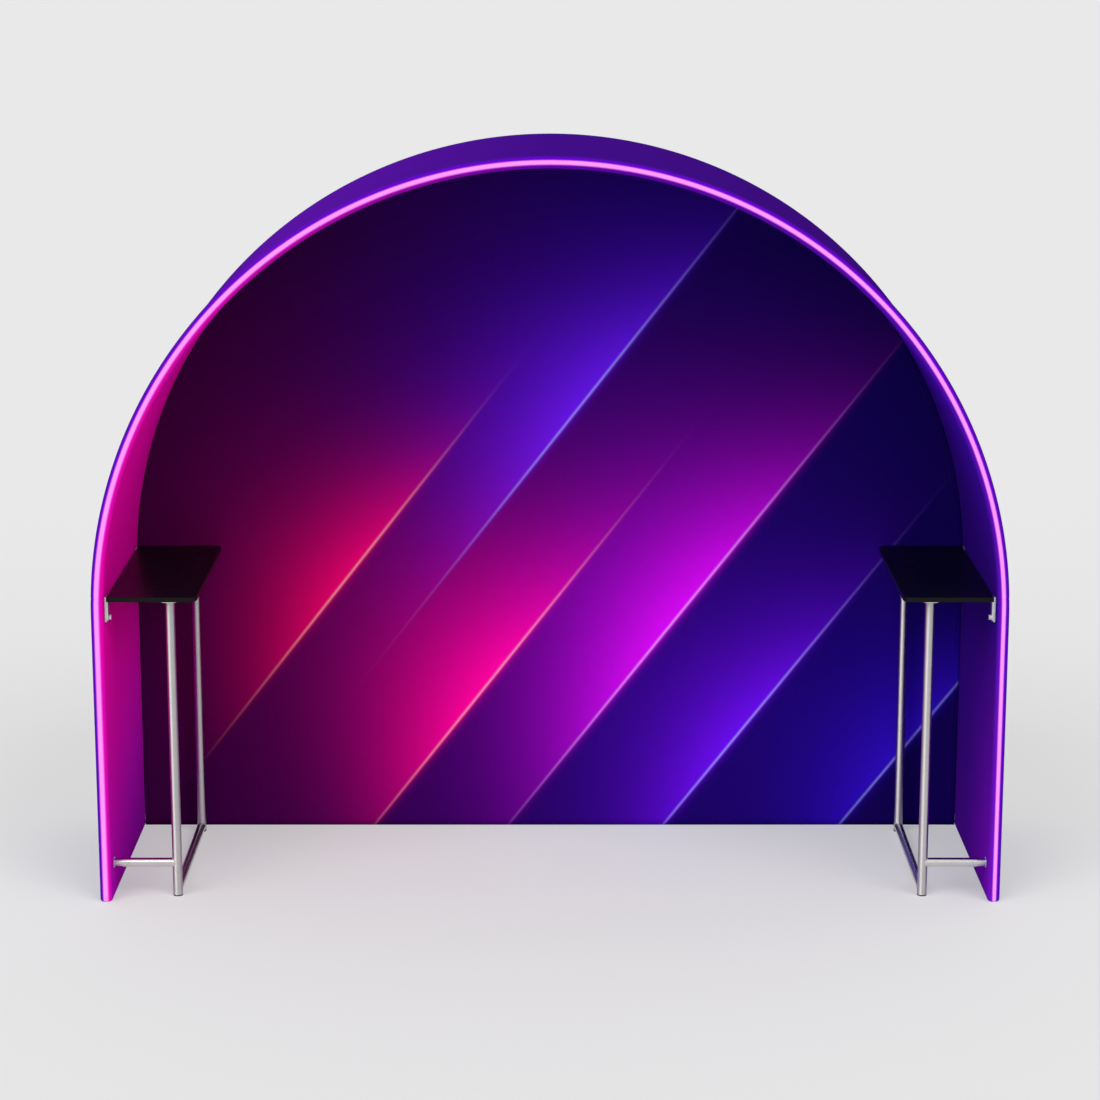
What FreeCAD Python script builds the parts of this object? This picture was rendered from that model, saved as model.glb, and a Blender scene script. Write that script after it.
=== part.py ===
import FreeCAD, Part
import math
import os
from FreeCAD import Vector

# Overall sizes in mm. X runs across the booth, Y from the open front to the back wall, Z up.
WIDTH = 3000.0
DEPTH = 900.0
LEG_HEIGHT = 975.0

# Frame tube and its push fits
TUBE_OD = 38.0
TUBE_WALL = 1.6
FIT = 0.1
SPIGOT_WALL = 2.0
SPIGOT_REACH = 60.0
TUBE_TAIL = 220.0
SPREADER_GAP = 2.0

# Foot plugs of the hoops
FOOT_HEIGHT = 8.0
FOOT_ROUND = 7.0
FOOT_STEM = 30.0

# Stretch cover of the arch
FABRIC = 1.2
FABRIC_GAP = 0.3
BASE_ROUND = 8.0
SEAM_RISE = 60.0

# Eyelets in the cover
EYELET_PLAY = 0.6
EYELET_BARREL = 1.0
EYELET_RIM = 4.0
EYELET_FLANGE = 0.8

# Zips: a tape with a raised chain, a slider and a pull tab
TAPE_WIDTH = 24.0
TAPE_THICK = 0.6
NECK_WIDTH = 3.0
NECK_HEIGHT = 1.2
CHAIN_WIDTH = 6.0
CHAIN_HEIGHT = 1.2
ZIP_START = 90.0
ZIP_TOP_GAP = 30.0
ZIP_EDGE = 60.0
STOP_LENGTH = 6.0
SLIDER_CLEAR = 0.3
SLIDER_WIDTH = 11.0
SLIDER_LENGTH = 20.0
SLIDER_PLATE = 1.2
BAIL_RADIUS = 0.9
BAIL_RISE = 2.6
POST_THICK = 1.3
POST_LENGTH = 4.0
PULL_WIDTH = 7.6
PULL_LENGTH = 30.0
PULL_THICK = 1.2
PULL_EYE_RADIUS = 2.3
PULL_ROUND = 3.0

# Back wall: a stretched skin with a lapped edge and a pole pocket for the base rail
SKIN_INSET = 65.0
SKIN_BOTTOM = 2.0
LAP_WIDTH = 15.0
LAP_GAP = 0.4
BACK_ZIP_OFFSET = 24.0
POCKET_END = 24.0
RAIL_OD = 25.0
RAIL_WALL = 1.5
RAIL_END_GAP = 6.0

# Table tops
TABLE_RISE = 62.0
TOP_THICK = 16.0
TOP_WIDTH = 295.0
TOP_SETBACK = 30.0
TOP_BACK_GAP = 15.0
TOP_CORNER = 28.0
TOP_WALL_CORNER = 4.0
TOP_EDGE = 2.0

# Table legs
LEG_OD = 32.0
LEG_WALL = 1.5
LEG_OFFSET = 203.0
LEG_INSET = 48.0
FLOOR_TUBE_OD = 30.0
GLIDE_HEIGHT = 4.0
GLIDE_STEM = 20.0
FLANGE_RADIUS = 40.0
FLANGE_THICK = 4.0
FLANGE_STEM = 30.0
FLANGE_SCREW_RADIUS = 28.0
FLANGE_SCREWS = 3

# Screws under the table tops
SCREW_RADIUS = 2.0
SCREW_HEAD_RADIUS = 4.0
SCREW_HEAD_HEIGHT = 2.4
SCREW_BITE = 10.0

# Table brackets, hanger plates and hand screws
BRACKET_WIDTH = 32.0
BRACKET_REACH = 40.0
BRACKET_THICK = 5.0
BRACKET_FILLET = 5.0
BRACKET_TAIL = 12.0
BRACKET_TAIL_ROUND = 10.0
BRACKET_INSET = 22.0
BRACKET_SCREW_PITCH = 16.0
BRACKET_SCREW_EDGE = 8.0
HANGER_THICK = 6.0
HANGER_GAP = 2.0
HANGER_TAIL = 13.0
HANGER_ROUND = 2.5
HAND_SCREW_DROP = 55.0
HAND_SCREW_RADIUS = 4.0
HAND_SCREW_CLEAR = 0.2
KNOB_RADIUS = 8.0
KNOB_HEIGHT = 8.0
KNOB_FLUTES = 10
KNOB_FLUTE_RADIUS = 1.6
INSERT_RADIUS = 5.5
INSERT_LENGTH = 16.0
INSERT_CLEAR = 0.1

# Strut with its wall spigot and snap button
STRUT_HEIGHT = 115.0
STRUT_OD = 30.0
STRUT_WALL = 2.0
STRUT_GAP = 30.0
BUTTON_INSET = 18.0
BUTTON_RADIUS = 4.0
BUTTON_CLEAR = 0.3
BUTTON_PROUD = 3.0
BUTTON_DOME = 1.5
BUTTON_BASE = 8.0
CLIP_THICK = 0.8
CLIP_WIDTH = 8.0
CLIP_LENGTH = 36.0
CLIP_LEAD = 5.0
CLIP_BACK = 3.6
CLIP_APEX = 2.0

# Places worked out from the sizes above
TUBE_R = TUBE_OD / 2
PANEL = TUBE_OD + 2 * (FABRIC + FABRIC_GAP)
R_OUT = WIDTH / 2
R_IN = R_OUT - PANEL
R_HOOP = R_OUT - PANEL / 2
Y_FRONT = -DEPTH / 2
Y_HOOP = DEPTH / 2 - PANEL / 2
ARC_SWEEP = 180.0 / 3
SEAM_ANGLE = math.degrees(SEAM_RISE / R_HOOP)
SPIGOT_OD = TUBE_OD - 2 * TUBE_WALL - 2 * FIT
LEG_BASE = FABRIC + FABRIC_GAP + FOOT_HEIGHT
FLOOR_RAIL_Z = LEG_BASE + TUBE_R + SPREADER_GAP
Y_SKIN = DEPTH / 2 - SKIN_INSET
SKIN_R = R_IN - TAPE_THICK - LAP_GAP
Y_BACK_ZIP = Y_SKIN + BACK_ZIP_OFFSET
Y_LEG_ZIP = DEPTH / 2 - ZIP_EDGE
ZIP_END = LEG_HEIGHT - ZIP_TOP_GAP
SLIDER_Z = ZIP_START + STOP_LENGTH + SLIDER_CLEAR
SLIDER_TRAVEL = ZIP_END - STOP_LENGTH - SLIDER_CLEAR - SLIDER_LENGTH - SLIDER_Z
SLIDER_TOP = TAPE_THICK + NECK_HEIGHT + CHAIN_HEIGHT + SLIDER_CLEAR + SLIDER_PLATE
BAIL_OUT = SLIDER_TOP + BAIL_RISE
BAIL_Z = SLIDER_Z + SLIDER_LENGTH / 2
Y_RAIL = Y_SKIN + FABRIC + FABRIC_GAP + RAIL_OD / 2
RAIL_STUB_OD = RAIL_OD - 2 * RAIL_WALL - 2 * FIT
TABLE_TOP = LEG_HEIGHT + TABLE_RISE
TABLE_UNDER = TABLE_TOP - TOP_THICK
HAND_SCREW_Z = TABLE_UNDER - HAND_SCREW_DROP
X_HANGER = R_IN - HANGER_GAP
X_EDGE = X_HANGER - HANGER_THICK
X_KNOB = X_EDGE - BRACKET_THICK - HAND_SCREW_CLEAR
X_LEG = X_EDGE - LEG_OFFSET
Y_TOP_FRONT = Y_FRONT + TOP_SETBACK
Y_TOP_REAR = Y_SKIN - TOP_BACK_GAP
Y_LEGS = (Y_TOP_FRONT + LEG_INSET, Y_TOP_REAR - LEG_INSET)
Y_BRACKETS = (Y_TOP_FRONT + BRACKET_INSET, Y_TOP_REAR - BRACKET_INSET)
FLOOR_TUBE_Z = GLIDE_HEIGHT + FLOOR_TUBE_OD / 2
WALL_SPIGOT_OD = STRUT_OD - 2 * STRUT_WALL - 2 * FIT
X_STRUT_END = R_IN - STRUT_GAP
X_BUTTON = X_STRUT_END - BUTTON_INSET
BUTTON_TRAVEL = BUTTON_PROUD + STRUT_WALL + 2 * FIT
RIGHT = Vector(1, 0, 0)
LEFT = Vector(-1, 0, 0)
BACK = Vector(0, 1, 0)
FORWARD = Vector(0, -1, 0)
UP = Vector(0, 0, 1)
DOWN = Vector(0, 0, -1)
ORIGIN = Vector(0, 0, 0)
ARCH_CENTRE = Vector(0, 0, LEG_HEIGHT)


def rod(start, direction, length, radius):
    return Part.makeCylinder(radius, length, start, direction)


def pipe(start, direction, length, outer, wall):
    bore = rod(start, direction, length, outer / 2 - wall)
    return rod(start, direction, length, outer / 2).cut(bore)


def box(x0, x1, y0, y1, z0, z1):
    corner = Vector(min(x0, x1), min(y0, y1), min(z0, z1))
    return Part.makeBox(abs(x1 - x0), abs(y1 - y0), abs(z1 - z0), corner)


def disc(x, y, radius):
    circle = Part.makeCircle(radius, Vector(x, y, LEG_HEIGHT), UP)
    return Part.Face(Part.Wire([circle]))


def patch(x0, x1, y0, y1):
    corners = [(x0, y0), (x1, y0), (x1, y1), (x0, y1), (x0, y0)]
    points = [Vector(x, y, LEG_HEIGHT) for x, y in corners]
    return Part.Face(Part.makePolygon(points))


def around(face, degrees):
    return face.revolve(ARCH_CENTRE, FORWARD, degrees)


def turned(shape, degrees):
    copy = shape.copy()
    copy.rotate(ARCH_CENTRE, FORWARD, degrees)
    return copy


def mirrored(shape):
    return shape.mirror(ORIGIN, RIGHT)


def joined(*shapes):
    whole = shapes[0].fuse(list(shapes[1:]))
    return whole.removeSplitter()


def over_the_arch(face, foot):
    leg = face.extrude(DOWN * (LEG_HEIGHT - foot))
    return joined(leg, around(face, 180.0), mirrored(leg))


def obround(half):
    front = Vector(R_HOOP, -Y_HOOP, LEG_HEIGHT)
    rear = Vector(R_HOOP, Y_HOOP, LEG_HEIGHT)
    a, b = front + RIGHT * half, rear + RIGHT * half
    c, d = rear + LEFT * half, front + LEFT * half
    edges = [
        Part.makeLine(a, b),
        Part.Arc(b, rear + BACK * half, c).toShape(),
        Part.makeLine(c, d),
        Part.Arc(d, front + FORWARD * half, a).toShape(),
    ]
    return Part.Face(Part.Wire(edges))


def rounded_foot(solid, height, radius):
    edges = [e for e in solid.Edges if abs(e.BoundBox.ZMin - height) + abs(e.BoundBox.ZMax - height) < FIT]
    return solid.makeFillet(radius, edges)


def hoop_tubes(y):
    ring = disc(R_HOOP, y, TUBE_R).cut(disc(R_HOOP, y, TUBE_R - TUBE_WALL)).Faces[0]
    leg = pipe(Vector(R_HOOP, y, LEG_BASE), UP, LEG_HEIGHT - TUBE_TAIL - LEG_BASE, TUBE_OD, TUBE_WALL)
    side = joined(ring.extrude(DOWN * TUBE_TAIL), around(ring, ARC_SWEEP))
    crown = around(turned(ring, ARC_SWEEP), ARC_SWEEP)
    return leg, side, crown


def hoop_spigots(y):
    reach = math.degrees(SPIGOT_REACH / R_HOOP)
    start = Vector(R_HOOP, y, LEG_HEIGHT - TUBE_TAIL - SPIGOT_REACH)
    low = pipe(start, UP, 2 * SPIGOT_REACH, SPIGOT_OD, SPIGOT_WALL)
    ring = disc(R_HOOP, y, SPIGOT_OD / 2).cut(disc(R_HOOP, y, SPIGOT_OD / 2 - SPIGOT_WALL)).Faces[0]
    high = around(turned(ring, ARC_SWEEP - reach), 2 * reach)
    return [low, mirrored(low), high, mirrored(high)]


def foot_plug(y):
    base = rod(Vector(R_HOOP, y, LEG_BASE - FOOT_HEIGHT), UP, FOOT_HEIGHT, TUBE_R)
    base = rounded_foot(base, LEG_BASE - FOOT_HEIGHT, FOOT_ROUND)
    stem = rod(Vector(R_HOOP, y, LEG_BASE), UP, FOOT_STEM, TUBE_R - TUBE_WALL - FIT)
    return joined(base, stem)


def spreader(z):
    start = Vector(R_HOOP, -Y_HOOP + TUBE_R + SPREADER_GAP, z)
    return pipe(start, BACK, 2 * (Y_HOOP - TUBE_R - SPREADER_GAP), TUBE_OD, TUBE_WALL)


def spreader_stubs(z):
    stubs = []
    for y, direction in ((-Y_HOOP, BACK), (Y_HOOP, FORWARD)):
        centre = disc(R_HOOP, y, TUBE_R)
        hoop = joined(centre.extrude(DOWN * LEG_HEIGHT), around(centre, ARC_SWEEP))
        start = Vector(R_HOOP, y, z)
        stub = pipe(start, direction, TUBE_R + SPREADER_GAP + SPIGOT_REACH, SPIGOT_OD, SPIGOT_WALL)
        stubs.append(stub.cut(hoop))
    return stubs


def arch_stubs(degrees):
    stubs = []
    for y, direction in ((-Y_HOOP, BACK), (Y_HOOP, FORWARD)):
        hoop = Part.makeTorus(R_HOOP, TUBE_R, Vector(0, y, LEG_HEIGHT), FORWARD)
        start = Vector(R_HOOP, y, LEG_HEIGHT)
        stub = pipe(start, direction, TUBE_R + SPREADER_GAP + SPIGOT_REACH, SPIGOT_OD, SPIGOT_WALL)
        stubs.append(turned(stub.cut(hoop), degrees))
    return stubs


def eyelet_places():
    screws = [(y, HAND_SCREW_Z, HAND_SCREW_RADIUS + EYELET_PLAY) for y in Y_BRACKETS]
    strut = (Y_LEGS[0], STRUT_HEIGHT, WALL_SPIGOT_OD / 2 + EYELET_PLAY)
    rail = (Y_RAIL, FLOOR_RAIL_Z, RAIL_STUB_OD / 2 + EYELET_PLAY)
    return screws + [strut, rail]


def eyelet(y, z, bore):
    flange = rod(Vector(R_IN - EYELET_FLANGE, y, z), RIGHT, EYELET_FLANGE, bore + EYELET_RIM)
    barrel = rod(Vector(R_IN, y, z), RIGHT, FABRIC, bore + EYELET_BARREL)
    hole = rod(Vector(R_IN - EYELET_FLANGE, y, z), RIGHT, EYELET_FLANGE + FABRIC, bore)
    return joined(flange, barrel).cut(hole)


def cover_wall():
    outside = obround(PANEL / 2)
    inside = obround(PANEL / 2 - FABRIC)
    outer = rounded_foot(outside.extrude(DOWN * LEG_HEIGHT), 0, BASE_ROUND)
    inner = rounded_foot(inside.extrude(DOWN * (LEG_HEIGHT - FABRIC)), FABRIC, BASE_ROUND - FABRIC)
    ring = outside.cut(inside).Faces[0]
    wall = joined(outer.cut(inner), around(ring, SEAM_ANGLE))
    for y, z, bore in eyelet_places():
        wall = wall.cut(rod(Vector(R_IN - FABRIC, y, z), RIGHT, 3 * FABRIC, bore + EYELET_BARREL + FIT))
    return wall


def cover_crown():
    ring = obround(PANEL / 2).cut(obround(PANEL / 2 - FABRIC)).Faces[0]
    return around(turned(ring, SEAM_ANGLE), 180.0 - 2 * SEAM_ANGLE)


def back_wall_skin():
    low_right = Vector(SKIN_R, Y_SKIN, SKIN_BOTTOM)
    low_left = Vector(-SKIN_R, Y_SKIN, SKIN_BOTTOM)
    spring_right = Vector(SKIN_R, Y_SKIN, LEG_HEIGHT)
    spring_left = Vector(-SKIN_R, Y_SKIN, LEG_HEIGHT)
    crown = Vector(0, Y_SKIN, LEG_HEIGHT + SKIN_R)
    edges = [
        Part.makeLine(low_left, low_right),
        Part.makeLine(low_right, spring_right),
        Part.Arc(spring_right, crown, spring_left).toShape(),
        Part.makeLine(spring_left, low_left),
    ]
    skin = Part.Face(Part.Wire(edges)).extrude(BACK * FABRIC)
    lap = over_the_arch(patch(SKIN_R - FABRIC, SKIN_R, Y_SKIN, Y_SKIN + LAP_WIDTH), ZIP_START)
    half = R_IN - POCKET_END
    inner = RAIL_OD / 2 + FABRIC_GAP
    centre = Vector(-half, Y_RAIL, FLOOR_RAIL_Z)
    loop = rod(centre, RIGHT, 2 * half, inner + FABRIC)
    loop = joined(loop, box(-half, half, Y_SKIN, Y_RAIL, FLOOR_RAIL_Z - inner - FABRIC, FLOOR_RAIL_Z + inner + FABRIC))
    room = rod(centre, RIGHT, 2 * half, inner)
    room = joined(room, box(-half, half, Y_SKIN + FABRIC, Y_RAIL, FLOOR_RAIL_Z - inner, FLOOR_RAIL_Z + inner))
    return joined(skin, lap, loop.cut(room))


def chain_faces(x, side, y):
    tape = x + side * TAPE_THICK
    neck = tape + side * NECK_HEIGHT
    head = neck + side * CHAIN_HEIGHT
    return (
        patch(x, tape, y - TAPE_WIDTH / 2, y + TAPE_WIDTH / 2),
        patch(tape, neck, y - NECK_WIDTH / 2, y + NECK_WIDTH / 2),
        patch(neck, head, y - CHAIN_WIDTH / 2, y + CHAIN_WIDTH / 2),
    )


def chain_stop(x, side, y, z):
    tape = x + side * TAPE_THICK
    return box(tape, x + side * SLIDER_TOP, y - CHAIN_WIDTH / 2, y + CHAIN_WIDTH / 2, z, z + STOP_LENGTH)


def leg_zip(x, side, y):
    bars = [f.extrude(UP * (ZIP_END - ZIP_START)) for f in chain_faces(x, side, y)]
    for bar in bars:
        bar.translate(UP * (ZIP_START - LEG_HEIGHT))
    return joined(*bars, chain_stop(x, side, y, ZIP_START), chain_stop(x, side, y, ZIP_END - STOP_LENGTH))


def back_zip(x, side, y):
    strips = [over_the_arch(f, ZIP_START) for f in chain_faces(x, side, y)]
    return joined(*strips, chain_stop(x, side, y, ZIP_START), chain_stop(x, side, y, ZIP_END - STOP_LENGTH))


def zip_slider(x, side, y):
    low, high = SLIDER_Z, SLIDER_Z + SLIDER_LENGTH
    half = SLIDER_WIDTH / 2
    foot = x + side * (TAPE_THICK + SLIDER_CLEAR)
    lip = x + side * (TAPE_THICK + NECK_HEIGHT - SLIDER_CLEAR)
    roof = x + side * (SLIDER_TOP - SLIDER_PLATE)
    top = x + side * SLIDER_TOP
    cavity = CHAIN_WIDTH / 2 + SLIDER_CLEAR
    slot = NECK_WIDTH / 2 + SLIDER_CLEAR
    body = box(foot, top, y - half, y + half, low, high)
    body = body.cut(box(lip, roof, y - cavity, y + cavity, low, high))
    body = body.cut(box(foot, lip, y - slot, y + slot, low, high))
    bail = x + side * BAIL_OUT
    cap = x + side * (BAIL_OUT + BAIL_RADIUS)
    for inner in (-half, half - POST_THICK):
        post = box(top, cap, y + inner, y + inner + POST_THICK, BAIL_Z - POST_LENGTH / 2, BAIL_Z + POST_LENGTH / 2)
        body = body.fuse(post)
    bar = rod(Vector(bail, y - half, BAIL_Z), BACK, SLIDER_WIDTH, BAIL_RADIUS)
    return joined(body, bar)


def zip_pull(x, side, y):
    bail = x + side * BAIL_OUT
    half = PULL_WIDTH / 2
    plate = box(bail - PULL_THICK / 2, bail + PULL_THICK / 2, y - half, y + half, BAIL_Z - PULL_LENGTH, BAIL_Z)
    corners = [e for e in plate.Edges if e.BoundBox.ZMax < BAIL_Z - PULL_LENGTH + FIT and e.BoundBox.YLength < FIT]
    plate = plate.makeFillet(PULL_ROUND, corners)
    eye = rod(Vector(bail, y - half, BAIL_Z), BACK, PULL_WIDTH, PULL_EYE_RADIUS)
    hole = rod(Vector(bail, y - half, BAIL_Z), BACK, PULL_WIDTH, BAIL_RADIUS + FIT)
    return joined(plate, eye).cut(hole)


def flange_screw_places():
    places = []
    for y in Y_LEGS:
        for i in range(FLANGE_SCREWS):
            a = 2 * math.pi * i / FLANGE_SCREWS
            x = X_LEG + FLANGE_SCREW_RADIUS * math.cos(a)
            places.append((x, y + FLANGE_SCREW_RADIUS * math.sin(a), FLANGE_THICK))
    return places


def bracket_screw_places():
    x = X_EDGE - BRACKET_REACH + BRACKET_SCREW_EDGE
    sides = (-BRACKET_SCREW_PITCH / 2, BRACKET_SCREW_PITCH / 2)
    return [(x, y + s, 0) for y in Y_BRACKETS for s in sides]


def table_screw(x, y, plate):
    head = rod(Vector(x, y, TABLE_UNDER - plate - SCREW_HEAD_HEIGHT), UP, SCREW_HEAD_HEIGHT, SCREW_HEAD_RADIUS)
    shank = rod(Vector(x, y, TABLE_UNDER - plate), UP, plate + SCREW_BITE, SCREW_RADIUS)
    return joined(head, shank)


def table_top():
    corners = [
        (X_EDGE, Y_TOP_FRONT, TOP_WALL_CORNER),
        (X_EDGE, Y_TOP_REAR, TOP_WALL_CORNER),
        (X_EDGE - TOP_WIDTH, Y_TOP_REAR, TOP_CORNER),
        (X_EDGE - TOP_WIDTH, Y_TOP_FRONT, TOP_CORNER),
    ]
    points = [Vector(x, y, TABLE_UNDER) for x, y, r in corners]
    top = Part.Face(Part.makePolygon(points + points[:1])).extrude(UP * TOP_THICK)
    for x, y, r in corners:
        edge = [
            e for e in top.Edges
            if e.BoundBox.ZLength > TOP_THICK / 2
            and math.hypot(e.BoundBox.Center.x - x, e.BoundBox.Center.y - y) < FIT
        ]
        top = top.makeFillet(r, edge)
    rim = [e for e in top.Edges if e.BoundBox.ZLength < FIT]
    top = top.makeFillet(TOP_EDGE, rim)
    for x, y, plate in flange_screw_places() + bracket_screw_places():
        top = top.cut(rod(Vector(x, y, TABLE_UNDER), UP, SCREW_BITE + FIT, SCREW_RADIUS + FIT))
    for y in Y_BRACKETS:
        top = top.cut(bracket_arm(y, FIT))
    return top


def bracket_arm(y, play):
    half = BRACKET_WIDTH / 2 + play
    return box(X_EDGE - BRACKET_REACH - play, X_EDGE, y - half, y + half, TABLE_UNDER, TABLE_UNDER + BRACKET_THICK)


def leg_frame():
    length = TABLE_UNDER - FLANGE_THICK - GLIDE_HEIGHT
    legs = [pipe(Vector(X_LEG, y, GLIDE_HEIGHT), UP, length, LEG_OD, LEG_WALL) for y in Y_LEGS]
    floor_tube = pipe(Vector(X_LEG, Y_LEGS[0], FLOOR_TUBE_Z), BACK, Y_LEGS[1] - Y_LEGS[0], FLOOR_TUBE_OD, LEG_WALL)
    for y in Y_LEGS:
        floor_tube = floor_tube.cut(rod(Vector(X_LEG, y, 0), UP, LEG_HEIGHT, LEG_OD / 2))
    return legs + [floor_tube]


def leg_glide(y):
    pad = rod(Vector(X_LEG, y, 0), UP, GLIDE_HEIGHT, LEG_OD / 2)
    stem = rod(Vector(X_LEG, y, GLIDE_HEIGHT), UP, GLIDE_STEM, LEG_OD / 2 - LEG_WALL - FIT)
    return joined(pad, stem)


def leg_flange(y):
    plate = rod(Vector(X_LEG, y, TABLE_UNDER - FLANGE_THICK), UP, FLANGE_THICK, FLANGE_RADIUS)
    stem = rod(Vector(X_LEG, y, TABLE_UNDER - FLANGE_THICK - FLANGE_STEM), UP, FLANGE_STEM, LEG_OD / 2 - LEG_WALL - FIT)
    flange = joined(plate, stem)
    for x, sy, thick in flange_screw_places():
        flange = flange.cut(rod(Vector(x, sy, TABLE_UNDER - FLANGE_THICK), UP, FLANGE_THICK, SCREW_RADIUS + FIT))
    return flange


def table_bracket(y):
    half = BRACKET_WIDTH / 2
    foot = HAND_SCREW_Z - BRACKET_TAIL
    drop = box(X_EDGE - BRACKET_THICK, X_EDGE, y - half, y + half, foot, TABLE_UNDER + BRACKET_THICK)
    bracket = joined(bracket_arm(y, 0), drop)
    bend = [
        e for e in bracket.Edges
        if e.BoundBox.YLength > half
        and abs(e.BoundBox.Center.x - X_EDGE + BRACKET_THICK) < FIT
        and abs(e.BoundBox.Center.z - TABLE_UNDER) < FIT
    ]
    bracket = bracket.makeFillet(BRACKET_FILLET, bend)
    ends = [e for e in bracket.Edges if e.BoundBox.ZMax < foot + FIT and e.BoundBox.YLength < FIT]
    bracket = bracket.makeFillet(BRACKET_TAIL_ROUND, ends)
    start = Vector(X_EDGE - BRACKET_REACH, y, HAND_SCREW_Z)
    bracket = bracket.cut(rod(start, RIGHT, BRACKET_REACH, HAND_SCREW_RADIUS + HAND_SCREW_CLEAR))
    for x, sy, thick in bracket_screw_places():
        bracket = bracket.cut(rod(Vector(x, sy, TABLE_UNDER), UP, BRACKET_THICK, SCREW_RADIUS + FIT))
    return bracket


def hanger_plate(y):
    half = BRACKET_WIDTH / 2
    foot = HAND_SCREW_Z - HANGER_TAIL
    plate = box(X_EDGE, X_HANGER, y - half, y + half, foot, TABLE_TOP)
    ends = [e for e in plate.Edges if e.BoundBox.ZMax < foot + FIT and e.BoundBox.YLength > half]
    plate = plate.makeFillet(HANGER_ROUND, ends)
    return plate.cut(rod(Vector(X_EDGE, y, HAND_SCREW_Z), RIGHT, HANGER_THICK, HAND_SCREW_RADIUS + HAND_SCREW_CLEAR))


def hand_screw(y):
    knob = rod(Vector(X_KNOB, y, HAND_SCREW_Z), LEFT, KNOB_HEIGHT, KNOB_RADIUS)
    for i in range(KNOB_FLUTES):
        a = 2 * math.pi * i / KNOB_FLUTES
        place = Vector(X_KNOB, y + KNOB_RADIUS * math.cos(a), HAND_SCREW_Z + KNOB_RADIUS * math.sin(a))
        knob = knob.cut(rod(place, LEFT, KNOB_HEIGHT, KNOB_FLUTE_RADIUS))
    end = R_HOOP - TUBE_R + INSERT_LENGTH
    shank = rod(Vector(X_KNOB, y, HAND_SCREW_Z), RIGHT, end - X_KNOB, HAND_SCREW_RADIUS)
    return joined(knob, shank)


def rail_insert(y):
    start = Vector(R_HOOP - TUBE_R, y, HAND_SCREW_Z)
    sleeve = rod(start, RIGHT, INSERT_LENGTH, INSERT_RADIUS)
    hull = rod(Vector(R_HOOP, y - TUBE_OD, HAND_SCREW_Z), BACK, 2 * TUBE_OD, TUBE_R)
    return sleeve.common(hull).cut(rod(start, RIGHT, INSERT_LENGTH, HAND_SCREW_RADIUS + INSERT_CLEAR))


def insert_holes(tube):
    for y in Y_BRACKETS:
        tube = tube.cut(rod(Vector(R_IN, y, HAND_SCREW_Z), RIGHT, R_HOOP - R_IN, INSERT_RADIUS))
    return tube


def strut():
    start = Vector(X_LEG, Y_LEGS[0], STRUT_HEIGHT)
    tube = pipe(start, RIGHT, X_STRUT_END - X_LEG, STRUT_OD, STRUT_WALL)
    tube = tube.cut(rod(Vector(X_LEG, Y_LEGS[0], 0), UP, LEG_HEIGHT, LEG_OD / 2))
    hole = rod(Vector(X_BUTTON, Y_LEGS[0], STRUT_HEIGHT), FORWARD, STRUT_OD, BUTTON_RADIUS + BUTTON_CLEAR)
    return tube.cut(hole)


def wall_spigot():
    start = Vector(R_HOOP, Y_LEGS[0], STRUT_HEIGHT)
    tube = pipe(start, LEFT, R_HOOP - X_STRUT_END + SPIGOT_REACH, WALL_SPIGOT_OD, SPIGOT_WALL)
    rail = rod(start + FORWARD * TUBE_OD, BACK, 2 * TUBE_OD, TUBE_R)
    hole = rod(Vector(X_BUTTON, Y_LEGS[0], STRUT_HEIGHT), FORWARD, STRUT_OD, BUTTON_RADIUS + BUTTON_CLEAR)
    return tube.cut(rail).cut(hole)


def snap_button():
    y = Y_LEGS[0]
    tip = STRUT_OD / 2 + BUTTON_PROUD
    button = rod(Vector(X_BUTTON, y - tip, STRUT_HEIGHT), BACK, tip - BUTTON_BASE, BUTTON_RADIUS)
    dome = [e for e in button.Edges if e.BoundBox.YMax < y - tip + FIT]
    button = button.makeFillet(BUTTON_DOME, dome)
    lead, apex = X_BUTTON + CLIP_LEAD, X_BUTTON - CLIP_LENGTH
    crook = apex + 2 * CLIP_THICK
    outline = [
        (lead, -BUTTON_BASE - CLIP_THICK),
        (apex, -CLIP_APEX),
        (lead, CLIP_BACK + CLIP_THICK),
        (lead, CLIP_BACK),
        (crook + CLIP_LENGTH / 4, -CLIP_APEX + CLIP_THICK / 2),
        (crook + CLIP_LENGTH / 4, -CLIP_APEX - CLIP_THICK / 2),
        (lead, -BUTTON_BASE),
    ]
    points = [Vector(x, y + d, STRUT_HEIGHT - CLIP_WIDTH / 2) for x, d in outline]
    clip = Part.Face(Part.makePolygon(points + points[:1])).extrude(UP * CLIP_WIDTH)
    return joined(button, clip)


def rail_stub():
    start = Vector(R_HOOP, Y_RAIL, FLOOR_RAIL_Z)
    length = R_HOOP - R_IN + RAIL_END_GAP + SPIGOT_REACH
    tube = pipe(start, LEFT, length, RAIL_STUB_OD, SPIGOT_WALL)
    return tube.cut(rod(start + FORWARD * TUBE_OD, BACK, 2 * TUBE_OD, TUBE_R))


def base_rail():
    return pipe(Vector(0, Y_RAIL, FLOOR_RAIL_Z), RIGHT, R_IN - RAIL_END_GAP, RAIL_OD, RAIL_WALL)


def both(name, solid, nodes):
    nodes["right_" + name] = [solid]
    nodes["left_" + name] = [mirrored(solid)]


def pairs(solids):
    return solids + [mirrored(s) for s in solids]


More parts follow.
